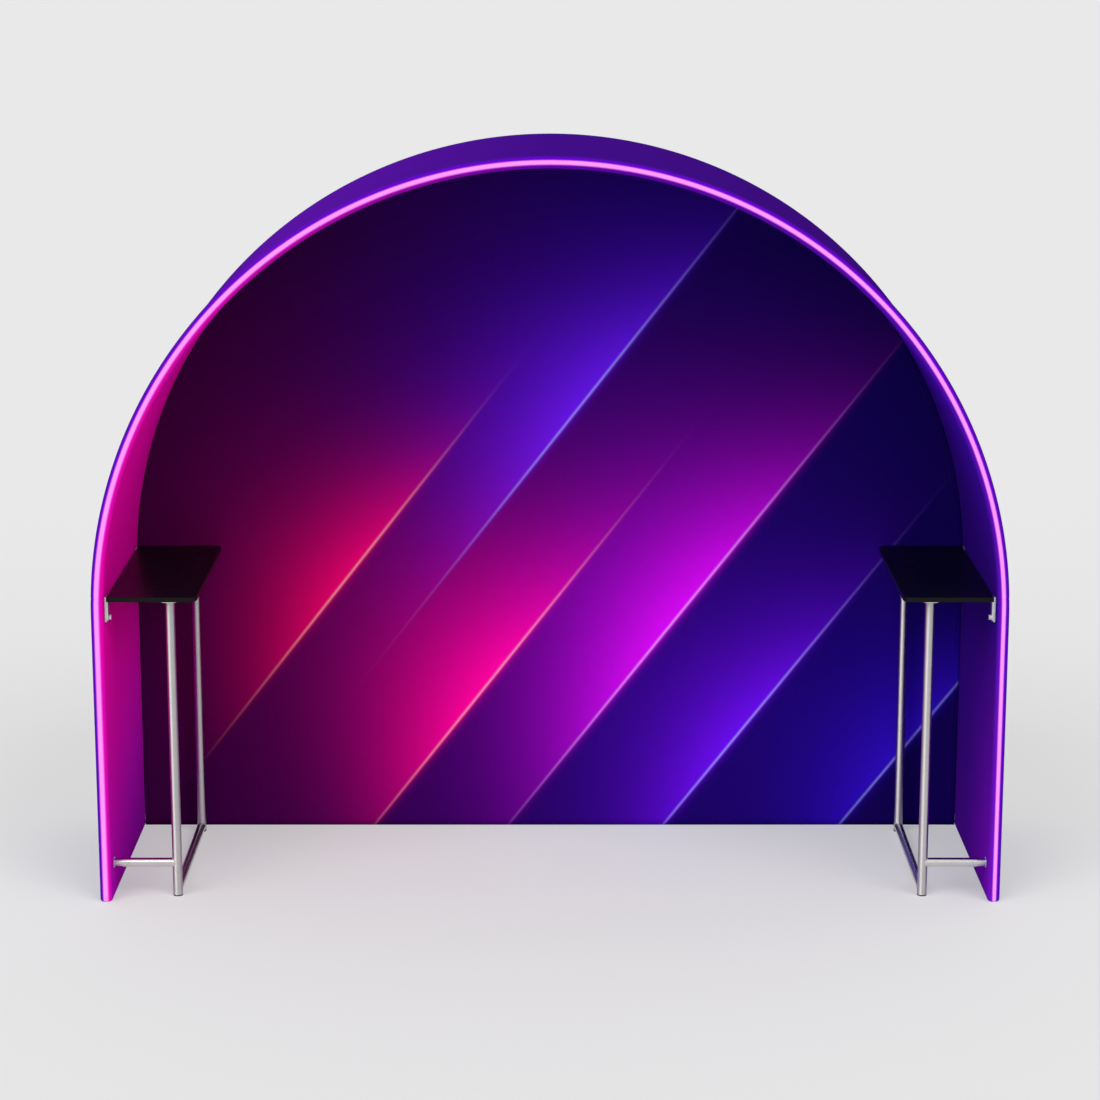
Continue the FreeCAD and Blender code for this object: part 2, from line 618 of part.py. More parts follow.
def build():
    nodes = {}

    # Tube frame of the arch
    spigots, stubs = [], []
    for name, y in (("front", -Y_HOOP), ("rear", Y_HOOP)):
        leg, side, crown = hoop_tubes(y)
        both(name + "_hoop_leg", leg, nodes)
        both(name + "_hoop_arc", side, nodes)
        nodes[name + "_hoop_crown"] = [crown]
        spigots += hoop_spigots(y)
    both("floor_rail", spreader(FLOOR_RAIL_Z), nodes)
    both("lower_rail", spreader(STRUT_HEIGHT), nodes)
    both("table_rail", insert_holes(spreader(HAND_SCREW_Z)), nodes)
    for z in (FLOOR_RAIL_Z, STRUT_HEIGHT):
        stubs += pairs(spreader_stubs(z))
    stubs += pairs([insert_holes(stub) for stub in spreader_stubs(HAND_SCREW_Z)])
    for name, degrees in (("right", ARC_SWEEP / 2), ("crown", 90.0), ("left", 180.0 - ARC_SWEEP / 2)):
        nodes[name + "_arch_spreader"] = [turned(spreader(LEG_HEIGHT), degrees)]
        stubs += arch_stubs(degrees)
    nodes["spreader_stubs"] = stubs
    nodes["foot_plugs"] = pairs([foot_plug(-Y_HOOP), foot_plug(Y_HOOP)])
    nodes["rail_inserts"] = pairs([rail_insert(y) for y in Y_BRACKETS])

    # Base rail of the back wall
    both("base_rail", base_rail(), nodes)
    joiner = pipe(Vector(-SPIGOT_REACH, Y_RAIL, FLOOR_RAIL_Z), RIGHT, 2 * SPIGOT_REACH, RAIL_STUB_OD, SPIGOT_WALL)
    nodes["tube_spigots"] = spigots + [joiner]
    nodes["rail_stubs"] = pairs([rail_stub()])

    # Fabric, eyelets and zips
    both("wall_cover", cover_wall(), nodes)
    nodes["crown_cover"] = [cover_crown()]
    nodes["back_wall_skin"] = [back_wall_skin()]
    nodes["eyelets"] = pairs([eyelet(y, z, bore) for y, z, bore in eyelet_places()])
    both("zip_tape", leg_zip(R_OUT, 1, Y_LEG_ZIP), nodes)
    both("zip_slider", zip_slider(R_OUT, 1, Y_LEG_ZIP), nodes)
    both("zip_pull", zip_pull(R_OUT, 1, Y_LEG_ZIP), nodes)
    nodes["back_zip_tape"] = [back_zip(R_IN, -1, Y_BACK_ZIP)]
    nodes["back_zip_slider"] = [zip_slider(R_IN, -1, Y_BACK_ZIP)]
    nodes["back_zip_pull"] = [zip_pull(R_IN, -1, Y_BACK_ZIP)]

    # Tables
    both("table_top", table_top(), nodes)
    frame = leg_frame()
    nodes["right_leg_frame"] = frame
    nodes["left_leg_frame"] = [mirrored(s) for s in frame]
    brackets = [table_bracket(y) for y in Y_BRACKETS]
    nodes["right_table_brackets"] = brackets
    nodes["left_table_brackets"] = [mirrored(s) for s in brackets]
    nodes["hanger_plates"] = pairs([hanger_plate(y) for y in Y_BRACKETS])
    both("front_hand_screw", hand_screw(Y_BRACKETS[0]), nodes)
    both("rear_hand_screw", hand_screw(Y_BRACKETS[1]), nodes)
    both("strut", strut(), nodes)
    both("wall_spigot", wall_spigot(), nodes)
    both("snap_button", snap_button(), nodes)
    nodes["leg_flanges"] = pairs([leg_flange(y) for y in Y_LEGS])
    nodes["leg_glides"] = pairs([leg_glide(y) for y in Y_LEGS])
    places = flange_screw_places() + bracket_screw_places()
    nodes["table_screws"] = pairs([table_screw(x, y, plate) for x, y, plate in places])
    return nodes


def main():
    os.makedirs("parts", exist_ok=True)
    for name, solids in build().items():
        shape = Part.makeCompound(solids)
        shape.exportStep("parts/" + name + ".step")


if __name__ == "__main__":
    main()
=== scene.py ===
import bmesh
import bpy
import math
import numpy as np
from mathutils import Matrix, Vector
from mathutils.geometry import tessellate_polygon


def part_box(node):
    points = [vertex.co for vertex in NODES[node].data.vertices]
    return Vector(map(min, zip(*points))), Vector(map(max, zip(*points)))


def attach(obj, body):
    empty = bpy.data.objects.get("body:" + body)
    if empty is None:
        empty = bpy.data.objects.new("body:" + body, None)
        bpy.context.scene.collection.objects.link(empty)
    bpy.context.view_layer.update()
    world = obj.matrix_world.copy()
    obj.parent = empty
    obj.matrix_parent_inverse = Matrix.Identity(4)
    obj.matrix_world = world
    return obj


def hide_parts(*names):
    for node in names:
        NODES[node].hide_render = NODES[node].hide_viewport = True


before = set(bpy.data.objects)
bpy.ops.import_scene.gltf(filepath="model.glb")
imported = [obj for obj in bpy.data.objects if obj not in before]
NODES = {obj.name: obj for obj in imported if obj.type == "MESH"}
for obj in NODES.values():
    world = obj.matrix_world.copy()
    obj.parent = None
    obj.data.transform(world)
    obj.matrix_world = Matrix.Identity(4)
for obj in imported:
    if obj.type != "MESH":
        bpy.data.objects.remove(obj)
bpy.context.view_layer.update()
TURN = 2 * math.pi
BACK = np.array([0.0, 1.0, 0.0])
UP = np.array([0.0, 0.0, 1.0])

# The arch, in metres, read from the frame
R_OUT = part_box("right_wall_cover")[1].x
DEPTH = 2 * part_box("right_wall_cover")[1].y
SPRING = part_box("crown_cover")[1].z - R_OUT
SEAM_RISE = 0.060
SEAM = SPRING + SEAM_RISE
PANEL = 0.041
HALF = PANEL / 2
HOOP_R = R_OUT - HALF
HOOP_Y = DEPTH / 2 - HALF
PATH = 2 * SPRING + math.pi * HOOP_R
RIM_ARC = HALF * math.pi / 2
GIRTH = 4 * (RIM_ARC + HOOP_Y)
BASE_ROUND = 0.008
SPREADER_TURNS = (math.pi / 6, math.pi / 2, 5 * math.pi / 6)

# How far the stretched cloth gives between the tubes and at its seams. Waves are height, length and start.
OUTER_SAG = 0.0035
INNER_SAG = 0.0045
SAG_RUN = 0.5
HELD_RUN = 0.16
HELD_SHARE = 0.9
SEAM_DIP = 0.0009
SEAM_DIP_RUN = 0.0035
PUCKER = 0.0004
PUCKER_START = 0.004
PUCKER_RUN = 0.022
PUCKER_WAVES = ((1.0, 0.031, 0.0), (0.6, 0.0197, 1.3))

# Steps of the sleeve's mesh, finer on the rims and near the seams
RIM_STEP = 0.0032
FLAT_STEP = 0.016
WALL_STEP = 0.020
CROWN_STEP = 0.018
SEAM_STEP = 0.002
SEAM_ZONE = 0.040
BASE_RINGS = 6

# The back wall's cloth, with its hem, lap, puckers and bow
SKIN_LOW, SKIN_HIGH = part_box("back_wall_skin")
SKIN_R = SKIN_HIGH.x
SKIN_Y = SKIN_LOW.y
SKIN_FOOT = SKIN_LOW.z
SKIN_LEG = SPRING - SKIN_FOOT
SKIN_EDGE = 2 * SKIN_LEG + math.pi * SKIN_R
CLOTH = 0.0012
LAP = 0.015
LAP_STEP = 0.03
HEM = 0.020
HEM_RIDGE = 0.0006
HEM_RIDGE_RUN = 0.004
HEM_POINTS = 1600
SKIN_PUCKER = 0.00035
SKIN_PUCKER_RUN = 0.05
SKIN_WAVES = ((1.0, 0.083, 0.0), (0.7, 0.057, 0.8))
SKIN_BOW = 0.004
SKIN_BOW_RUN = 0.6
SKIN_BOW_FOOT = 0.08
EDGE_STEP_SHARE = 0.004
RAY_STEP_SHARE = 0.016
SKIN_RIM_STEPS = (0.030, 0.026, 0.022, 0.020, 0.018, 0.016, 0.012, 0.006, 0.0)
JOIN_DISTANCE = 0.0002

# The pocket of the back wall, around the base rail
RAIL_LOW, RAIL_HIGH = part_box("right_base_rail")
RAIL_R = (RAIL_HIGH.z - RAIL_LOW.z) / 2
RAIL_Y = (RAIL_LOW.y + RAIL_HIGH.y) / 2
RAIL_Z = (RAIL_LOW.z + RAIL_HIGH.z) / 2
POCKET_GAP = 0.0003
POCKET_END = 0.024
POCKET_STEP = 0.02
POCKET_POINTS = 17
POCKET_WAVES = ((0.0004, 0.11, 0.0), (0.0003, 0.047, 0.0))

# The zips: a tape, a cord under the teeth, teeth and stops, as heights above the cover
TAPE_WIDTH = 0.024
TAPE_THICK = 0.0006
TAPE_EDGE = 0.0012
TAPE_EDGE_SHARE = 1.25
CORD_WIDTH = 0.003
CORD_TOP = 0.0018
CHAIN_WIDTH = 0.006
CHAIN_TOP = 0.0030
TOOTH_PITCH = 0.0030
TOOTH_LAP = 0.0005
TOOTH_LENGTH_SHARE = 0.36
TOOTH_TOP_SHARE = 0.8
STOP_TOP = 0.0045
STOP_LENGTH = 0.006
STOP_TOP_SHARE = 0.9
ZIP_STEP = 0.05
ARC_STEP = 0.012

# Sewing thread, and its rows beside the seams and along the zips
THREAD_R = 0.00035
THREAD_SIDES = 6
THREAD_LIFT_SHARE = 0.4
STITCH = 0.0042
STITCH_SHARE = 0.72
SEAM_ROW = 0.006
SEAM_POINTS = 1200
ZIP_ROW = 0.0035

# How far the cloth is lifted to find its outward direction
PROBE = 0.01

# The leg frames of the tables, and their weld beads
LEG_LOW, LEG_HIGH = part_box("right_leg_frame")
LEG_R = (LEG_HIGH.x - LEG_LOW.x) / 2
LEG_X = LEG_HIGH.x - LEG_R
LEG_MIDDLE_Y = (LEG_LOW.y + LEG_HIGH.y) / 2
LEG_Y = LEG_HIGH.y - LEG_R - LEG_MIDDLE_Y
FLOOR_TUBE_R = 0.015
FLOOR_TUBE_TOP = LEG_LOW.z + 2 * FLOOR_TUBE_R
BEAD = 0.0017
BEAD_SIDES = 8
BEAD_SCALES = 26
BEAD_SCALE_STEPS = 6
RIPPLE_SHARE = 0.22

# Pan-head screws under the tables: radii and heights from the head's flat to the tip, and the recess
HEAD_FLAT_R = 0.0029
HEAD_ROUND_R = 0.0036
HEAD_ROUND = 0.00025
HEAD_R = 0.0040
HEAD_SIDE = 0.0009
HEAD_HEIGHT = 0.0024
SHANK_R = 0.0020
POINT_LENGTH = 0.003
POINT_R = 0.0003
SCREW_SIDES = 24
RECESS_ARM = 0.0005
RECESS_REACH = 0.0021
RECESS_DEPTH = 0.0015
RECESS_FLOOR_SHARE = 0.7

# How near to each other the solids of one screw lie
TOUCH = 0.0005


def srgb(*levels):
    """A colour given as the eight-bit levels of a picture, as linear light."""
    shares = [v / 255 for v in levels]
    linear = [s / 12.92 if s <= 0.04045 else ((s + 0.055) / 1.055) ** 2.4 for s in shares]
    return (*linear, 1.0)


class Shade:
    """One material and the nodes added to it."""

    def __init__(self, name, roughness=0.5, metallic=0.0, specular=0.5):
        self.material = bpy.data.materials.new(name)
        self.material.use_nodes = True
        self.tree = self.material.node_tree
        self.shader = self.tree.nodes["Principled BSDF"]
        self.shader.inputs["Roughness"].default_value = roughness
        self.shader.inputs["Metallic"].default_value = metallic
        self.shader.inputs["Specular IOR Level"].default_value = specular

    def feed(self, socket, value):
        if isinstance(value, bpy.types.NodeSocket):
            self.tree.links.new(value, socket)
        else:
            socket.default_value = value

    def node(self, kind, inputs=None, **settings):
        node = self.tree.nodes.new(kind)
        for key, value in settings.items():
            setattr(node, key, value)
        for key, value in (inputs or {}).items():
            self.feed(node.inputs[key], value)
        return node

    def math(self, operation, *values):
        return self.node("ShaderNodeMath", dict(enumerate(values)), operation=operation).outputs[0]

    def vector(self, *parts):
        return self.node("ShaderNodeCombineXYZ", dict(enumerate(parts))).outputs[0]

    def span(self, value, low, high):
        """0 below low, 1 above high, and a smooth step between."""
        inputs = {"Value": value, "From Min": low, "From Max": high}
        return self.node("ShaderNodeMapRange", inputs, interpolation_type="SMOOTHSTEP").outputs[0]

    def bell(self, value, width):
        scaled = self.math("DIVIDE", value, width)
        return self.math("EXPONENT", self.math("MULTIPLY", self.math("MULTIPLY", scaled, scaled), -1.0))

    def wave(self, place, length):
        return self.math("SINE", self.math("MULTIPLY", place, TURN / length))

    def blend(self, share, a, b):
        """A share of one number and the rest of another."""
        return self.math("MULTIPLY_ADD", a, share, self.math("MULTIPLY", b, 1 - share))

    def mix(self, share, a, b, blend="MIX"):
        node = self.node("ShaderNodeMix", {0: share, 6: a, 7: b}, data_type="RGBA", blend_type=blend)
        return node.outputs[2]

    def ramp(self, value, shares):
        """Colours by a value from 0 to 1. shares lists (share, levels of the colour)."""
        node = self.node("ShaderNodeValToRGB", {0: value})
        elements = node.color_ramp.elements
        while len(elements) < len(shares):
            elements.new(1.0)
        for element, (share, levels) in zip(elements, shares):
            element.position = share
            element.color = srgb(*levels)
        return node.outputs[0]

    def noise(self, vector, scale, detail=3.0, roughness=0.55):
        inputs = {"Vector": vector, "Scale": scale, "Detail": detail, "Roughness": roughness}
        return self.node("ShaderNodeTexNoise", inputs).outputs[0]

    def streaks(self, vector, scales, detail=3.0):
        """Noise that is scaled differently along each axis."""
        stretched = self.node("ShaderNodeMapping", {"Vector": vector, "Scale": scales}).outputs[0]
        return self.noise(stretched, 1.0, detail)

    def place(self):
        return self.node("ShaderNodeTexCoord").outputs["Object"]

    def axes(self, vector):
        return self.node("ShaderNodeSeparateXYZ", {0: vector}).outputs

    def colour(self, value):
        self.feed(self.shader.inputs["Base Color"], value)

    def roughness(self, value, low, high):
        inputs = {"Value": value, "To Min": low, "To Max": high}
        self.feed(self.shader.inputs["Roughness"], self.node("ShaderNodeMapRange", inputs).outputs[0])

    def bump(self, height, distance, strength=1.0):
        inputs = {"Height": height, "Distance": distance, "Strength": strength}
        self.feed(self.shader.inputs["Normal"], self.node("ShaderNodeBump", inputs).outputs[0])


# The knit of the stretch cloth: its stitches, and how much painted light on them, painted shade between
# them and the dye vary the print
WALE = 0.0012
COURSE = 0.0016
KNIT_DEPTH = 0.0002
LOOP_SHARE = 0.6
STITCH_SHADE_SHARE = 0.26
DYE_SHARE = 0.10
DYE_SCALE = 26.0
SLUB_SCALES = (500.0, 60.0, 1.0)


def knit(shade, colour, across, along):
    """Prints a colour on knitted stretch cloth, with painted light on the stitches, painted shade between
    them and random dye tone.
    """
    crossing = shade.math("MULTIPLY", shade.wave(across, WALE), shade.wave(along, COURSE))
    loops = shade.math("MULTIPLY_ADD", crossing, 0.5, 0.5)
    place = shade.vector(across, along)
    stitch = shade.blend(LOOP_SHARE, loops, shade.streaks(place, SLUB_SCALES, detail=2.0))
    # Painted light on the raised stitches and painted shade between them, by the stitch height
    stitch_shade = shade.math("MULTIPLY_ADD", stitch, STITCH_SHADE_SHARE, 1 - STITCH_SHADE_SHARE / 2)
    dye = shade.math("MULTIPLY_ADD", shade.noise(place, DYE_SCALE), DYE_SHARE, 1 - DYE_SHARE / 2)
    share = shade.math("MULTIPLY", stitch_shade, dye)
    printed = shade.node("ShaderNodeVectorMath", {"Vector": colour, "Scale": share}, operation="SCALE")
    shade.colour(printed.outputs[0])
    shade.bump(stitch, KNIT_DEPTH)


# The sleeve's print: colours by the share of the way from the left foot over the crown to the right
# foot, inside near the rim, deep inside, outside with painted light on the left of the crown and
# painted shade on its right, along the inner side of the bright line and on it
INSIDE_SHARES = (
    (0.00, (164, 14, 173)), (0.05, (192, 9, 163)), (0.14, (234, 6, 158)),
    (0.26, (236, 6, 166)), (0.50, (116, 9, 204)), (0.74, (68, 16, 170)),
    (0.86, (54, 14, 133)), (0.95, (100, 16, 168)), (1.00, (118, 16, 183)),
)
DEEP_SHARES = (
    (0.00, (127, 11, 148)), (0.05, (172, 11, 172)), (0.14, (240, 6, 166)),
    (0.26, (240, 6, 172)), (0.50, (79, 6, 165)), (0.74, (53, 12, 143)),
    (0.86, (52, 12, 135)), (0.95, (62, 14, 134)), (1.00, (77, 16, 146)),
)
# Outside colours: the print, with painted light on the left of the crown and painted shade on its right
OUTSIDE_PRINT_AND_LIGHT_SHARES = (
    (0.00, (71, 13, 142)), (0.36, (86, 19, 158)), (0.50, (61, 13, 128)),
    (0.64, (55, 12, 116)), (1.00, (60, 11, 132)),
)
FRINGE_SHARES = (
    (0.00, (224, 8, 182)), (0.28, (224, 10, 176)), (0.50, (104, 6, 168)),
    (0.72, (80, 14, 172)), (1.00, (108, 18, 190)),
)
LINE_SHARES = ((0.0, (242, 112, 234)), (0.5, (242, 116, 240)), (1.0, (230, 116, 246)))
OUTER_FRINGE = srgb(92, 4, 186)
LINE_CORE = srgb(246, 146, 246)
DEEP_SHARE = 0.7
RIM_BLEND = 0.002
FRINGE_FROM = 0.010
FRINGE_END = 0.029
LINE_WIDTH = 0.0108
LINE_THINNING = 0.0030
LINE_FROM_SHARE = 0.45
LINE_END_SHARE = 1.15
CORE_FROM_SHARE = 0.30
CORE_END_SHARE = 0.82


def arch_print():
    """The sleeve's print: plain gradients with a bright line along the front rim, painted light and shade
    on the outside of the crown, and the knit's painted shade.
    """
    shade = Shade("arch_print", roughness=0.8, specular=0.0)
    along, around = shade.axes(shade.node("ShaderNodeUVMap", uv_map="cloth").outputs[0])[:2]
    share = shade.math("DIVIDE", along, PATH)
    inner_depth = shade.math("MULTIPLY", around, -1.0)
    deepness = shade.span(inner_depth, RIM_ARC, DEEP_SHARE * DEPTH)
    wall = shade.mix(deepness, shade.ramp(share, INSIDE_SHARES), shade.ramp(share, DEEP_SHARES))
    outward = shade.span(around, -RIM_BLEND, RIM_BLEND)
    # The outside takes the print with the painted light and shade of the crown
    base = shade.mix(outward, wall, shade.ramp(share, OUTSIDE_PRINT_AND_LIGHT_SHARES))
    fringe = shade.mix(outward, shade.ramp(share, FRINGE_SHARES), OUTER_FRINGE)
    reach = shade.math("ABSOLUTE", around)
    fringed = shade.mix(shade.span(reach, FRINGE_END, FRINGE_FROM), base, fringe)
    width = shade.math("MULTIPLY_ADD", share, -LINE_THINNING, LINE_WIDTH)
    scaled = shade.math("DIVIDE", reach, width)
    in_line = shade.span(scaled, LINE_END_SHARE, LINE_FROM_SHARE)
    lined = shade.mix(in_line, fringed, shade.ramp(share, LINE_SHARES))
    glowing = shade.mix(shade.span(scaled, CORE_END_SHARE, CORE_FROM_SHARE), lined, LINE_CORE)
    knit(shade, glowing, around, along)
    return shade.material


# Light bands of the back wall's print: place of the bright edge across the bands, width, middle
# along the band and length of the lit stretch, all in metres, with the colour and its strength
BAND_TURN = math.radians(52)
BANDS = (
    (-1.13, 0.18, 0.28, 0.46, (228, 0, 68), 0.95),
    (-0.86, 0.26, 1.36, 0.58, (96, 25, 248), 0.95),
    (-0.50, 0.26, 0.28, 0.52, (252, 0, 122), 0.97),
    (-0.12, 0.26, 0.92, 0.66, (222, 6, 248), 0.95),
    (0.32, 0.20, 0.70, 0.54, (110, 12, 248), 0.95),
    (0.82, 0.22, 1.00, 0.50, (50, 14, 216), 0.95),
)
BAND_EDGE = 0.008
BAND_LINE = 0.0040
BAND_LINE_SHARE = 0.8
PALE_BASE = 0.28
PALE_SHARE = 0.70
GROUND_SHARES = ((0.0, (58, 2, 62)), (0.3, (44, 2, 82)), (0.6, (31, 4, 96)), (1.0, (23, 4, 90)))
REVERSE_PALE = srgb(206, 202, 212)
REVERSE_SHARE = 0.62


def wall_colour(shade):
    """Dark cloth, maroon on the left and navy on the right, with slanting bands of light."""
    axes = shade.axes(shade.place())
    x, z = axes["X"], axes["Z"]
    colour = shade.ramp(shade.span(x, -SKIN_R, SKIN_R), GROUND_SHARES)
    across = shade.math("ADD", shade.math("MULTIPLY", x, math.sin(BAND_TURN)),
                        shade.math("MULTIPLY", z, -math.cos(BAND_TURN)))
    along = shade.math("ADD", shade.math("MULTIPLY", x, math.cos(BAND_TURN)),
                       shade.math("MULTIPLY", z, math.sin(BAND_TURN)))
    for edge, width, middle, length, levels, strength in BANDS:
        place = shade.math("SUBTRACT", across, edge)
        behind = shade.math("EXPONENT", shade.math("DIVIDE", shade.math("MINIMUM", place, 0.0), width))
        before = shade.math("EXPONENT", shade.math("DIVIDE", shade.math("MAXIMUM", place, 0.0), -BAND_EDGE))
        lit = shade.bell(shade.math("SUBTRACT", along, middle), length)
        glow = shade.math("MULTIPLY", shade.math("MULTIPLY", behind, before), lit)
        line = shade.math("MULTIPLY", shade.bell(place, BAND_LINE), lit)
        light = srgb(*levels)
        pale = (*(PALE_BASE + PALE_SHARE * v for v in light[:3]), 1.0)
        colour = shade.mix(shade.math("MULTIPLY", glow, strength), colour, light, "SCREEN")
        colour = shade.mix(shade.math("MULTIPLY", line, BAND_LINE_SHARE), colour, pale)
    return colour, x, z


def wall_print():
    """The printed side of the back wall."""
    shade = Shade("wall_print", roughness=0.8, specular=0.0)
    knit(shade, *wall_colour(shade))
    return shade.material


def wall_reverse():
    """The unprinted side, where the dye shows through pale."""
    shade = Shade("wall_reverse", roughness=0.85, specular=0.0)
    colour, x, z = wall_colour(shade)
    knit(shade, shade.mix(REVERSE_SHARE, colour, REVERSE_PALE), x, z)
    return shade.material


# Satin tubes: scales of their polishing lines, and the ways along the tubes, each a little off so
# that it is never square to a surface. What is further than LEG_SKIN from the legs is a lying tube.
STEEL = srgb(229, 226, 225)
STEEL_WORN_SHARE = 0.72
LEG_LINES = (9.0, 9.0, 900.0)
LYING_LINES = (900.0, 900.0, 9.0)
LINES_SHARE = 0.6
SMUDGE_SCALE = 14.0
LEG_ROUGH_SHARE = 0.65
POLISH_DEPTH = 0.00006
LEG_WAY = (0.06, 0.06, 1.0)
STRUT_WAY = (1.0, 0.06, 0.06)
FLOOR_TUBE_WAY = (0.06, 1.0, 0.06)
LEG_SKIN = 0.0003
LEG_SKIN_END = 0.0005
FLOOR_ZONE = 0.004
FLOOR_ZONE_END = 0.010


def satin_steel():
    """Tube that was belt-polished around, so that its highlights stretch along it."""
    shade = Shade("satin_steel", metallic=1.0)
    place = shade.place()
    x, y, z = shade.axes(place)
    off_x = shade.math("SUBTRACT", shade.math("ABSOLUTE", x), LEG_X)
    from_middle = shade.math("ABSOLUTE", shade.math("SUBTRACT", y, LEG_MIDDLE_Y))
    off_y = shade.math("SUBTRACT", from_middle, LEG_Y)
    offset = shade.vector(off_x, off_y)
    from_leg = shade.node("ShaderNodeVectorMath", {0: offset}, operation="LENGTH").outputs["Value"]
    lying = shade.span(from_leg, LEG_R + LEG_SKIN, LEG_R + LEG_SKIN_END)
    lines = shade.mix(lying, shade.streaks(place, LEG_LINES), shade.streaks(place, LYING_LINES))
    worn = shade.blend(LINES_SHARE, lines, shade.noise(place, SMUDGE_SCALE))
    shade.colour(shade.mix(worn, STEEL, (*(STEEL_WORN_SHARE * v for v in STEEL[:3]), 1.0)))
    # The lying tubes are smoother than the legs
    grain = shade.math("MULTIPLY_ADD", lines, 1 - LEG_ROUGH_SHARE, LEG_ROUGH_SHARE)
    shade.roughness(shade.math("MULTIPLY_ADD", lying, -LEG_ROUGH_SHARE, grain), low=0.18, high=0.58)
    shade.bump(lines, POLISH_DEPTH, strength=0.6)
    shade.shader.inputs["Anisotropic"].default_value = 0.9
    at_floor = shade.span(z, FLOOR_TUBE_TOP + FLOOR_ZONE_END, FLOOR_TUBE_TOP + FLOOR_ZONE)
    lying_way = shade.mix(at_floor, shade.vector(*STRUT_WAY), shade.vector(*FLOOR_TUBE_WAY))
    way = shade.mix(lying, shade.vector(*LEG_WAY), lying_way)
    shade.feed(shade.shader.inputs["Tangent"], way)
    return shade.material


def speckled(name, colours, speck_scale, roughness, grain_scale, metallic=0.0, specular=0.5):
    """A plain finish with fine specks of two colours and a finer grain of roughness."""
    shade = Shade(name, metallic=metallic, specular=specular)
    place = shade.place()
    shade.colour(shade.mix(shade.noise(place, speck_scale), *(srgb(*levels) for levels in colours)))
    shade.roughness(shade.noise(place, grain_scale), *roughness)
    return shade


def bright_metal():
    colours = ((228, 228, 230), (205, 205, 210))
    return speckled("bright_metal", colours, speck_scale=60.0, roughness=(0.30, 0.44), grain_scale=240.0,
                    metallic=1.0).material


def zip_metal():
    colours = ((60, 60, 66), (92, 92, 98))
    return speckled("zip_metal", colours, speck_scale=300.0, roughness=(0.25, 0.45), grain_scale=700.0,
                    metallic=1.0).material


PLASTIC_DEPTH = 0.0001


def black_plastic():
    colours = ((20, 20, 22), (32, 32, 34))
    shade = speckled("black_plastic", colours, speck_scale=90.0, roughness=(0.45, 0.65), grain_scale=500.0,
                     specular=0.4)
    shade.bump(shade.noise(shade.place(), scale=1500.0), PLASTIC_DEPTH, strength=0.4)
    return shade.material


TAPE_ROW = 0.0012
TAPE_DEPTH = 0.0002


def zip_tape():
    """Woven tape with fine rows across it."""
    shade = Shade("zip_tape", roughness=0.85, specular=0.2)
    place = shade.place()
    rows = shade.math("MULTIPLY_ADD", shade.wave(shade.axes(place)["Y"], TAPE_ROW), 0.5, 0.5)
    shade.colour(shade.mix(rows, srgb(22, 18, 28), srgb(36, 30, 44)))
    shade.bump(shade.noise(place, scale=900.0), TAPE_DEPTH, strength=0.6)
    return shade.material


def thread():
    shade = Shade("thread", roughness=0.75, specular=0.25)
    shade.colour(shade.mix(shade.noise(shade.place(), scale=800.0), srgb(62, 14, 118), srgb(92, 26, 150)))
    return shade.material


PEARL_DEPTH = 0.00012
SCUFF_SHARE = 0.6


def black_board():
    """Black laminate with a fine pearl texture, a little scuffed, and an edge band of its own colour."""
    shade = Shade("black_board", specular=0.10)
    place = shade.place()
    normal = shade.node("ShaderNodeNewGeometry").outputs["Normal"]
    face = shade.span(shade.math("ABSOLUTE", shade.axes(normal)["Z"]), low=0.55, high=0.8)
    scuff = shade.span(shade.noise(place, scale=38.0, detail=6.0, roughness=0.7), low=0.50, high=0.78)
    pearl = shade.noise(place, scale=620.0, detail=2.0)
    grain = shade.mix(shade.span(pearl, low=0.40, high=0.62), srgb(3, 3, 4), srgb(13, 13, 15))
    top = shade.mix(shade.math("MULTIPLY", scuff, SCUFF_SHARE), grain, srgb(19, 19, 21))
    shade.colour(shade.mix(face, srgb(15, 15, 16), top))
    shade.roughness(scuff, low=0.28, high=0.55)
    shade.bump(pearl, PEARL_DEPTH, strength=0.6)
    return shade.material


DIE_LINES = (500.0, 30.0, 500.0)


def frame_tube():
    """Drawn aluminium, anodised, with long die lines."""
    shade = Shade("frame_tube", metallic=1.0)
    lines = shade.streaks(shade.place(), DIE_LINES)
    shade.colour(shade.mix(lines, srgb(176, 178, 182), srgb(150, 152, 158)))
    shade.roughness(lines, low=0.32, high=0.5)
    return shade.material


MATERIALS = {
    "arch_print": arch_print(),
    "wall_print": wall_print(),
    "zip_tape": zip_tape(),
    "zip_metal": zip_metal(),
    "bright_metal": bright_metal(),
    "satin_steel": satin_steel(),
    "black_board": black_board(),
    "black_plastic": black_plastic(),
    "frame_tube": frame_tube(),
}
REVERSE = wall_reverse()
THREAD = thread()


def piece(name, lump, slot, material=None, smooth=True, closed=False):
    """A new mesh from points and faces that rides on the booth and takes its finish from a slot."""
    points, faces = lump
    mesh = bpy.data.meshes.new(name)
    mesh.from_pydata([tuple(p) for p in points], [], [tuple(f) for f in faces])
    mesh.validate()
    if closed:
        shell = bmesh.new()
        shell.from_mesh(mesh)
        bmesh.ops.recalc_face_normals(shell, faces=shell.faces)
        shell.to_mesh(mesh)
        shell.free()
    mesh.materials.append(material or MATERIALS[slot])
    mesh.polygons.foreach_set("use_smooth", [smooth] * len(mesh.polygons))
    made = bpy.data.objects.new(name, mesh)
    bpy.context.scene.collection.objects.link(made)
    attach(made, "booth")
    return made


def steps(start, stop, size):
    """Places from start to stop, about size apart."""
    return np.linspace(start, stop, max(2, int(round(abs(stop - start) / size)) + 1))


def turns(count):
    """Angles of a full turn, evenly apart."""
    return np.linspace(0, TURN, count, endpoint=False)


def waves(place, table):
    """A sum of waves. table lists (height, length, start)."""
    return sum(height * np.sin(place * TURN / length + start) for height, length, start in table)


def tube_faces(rings, count):
    """Faces between rings of count points each."""
    faces = []
    for i in range(rings - 1):
        for j in range(count):
            k = (j + 1) % count
            faces.append((i * count + j, i * count + k, (i + 1) * count + k, (i + 1) * count + j))
    return faces


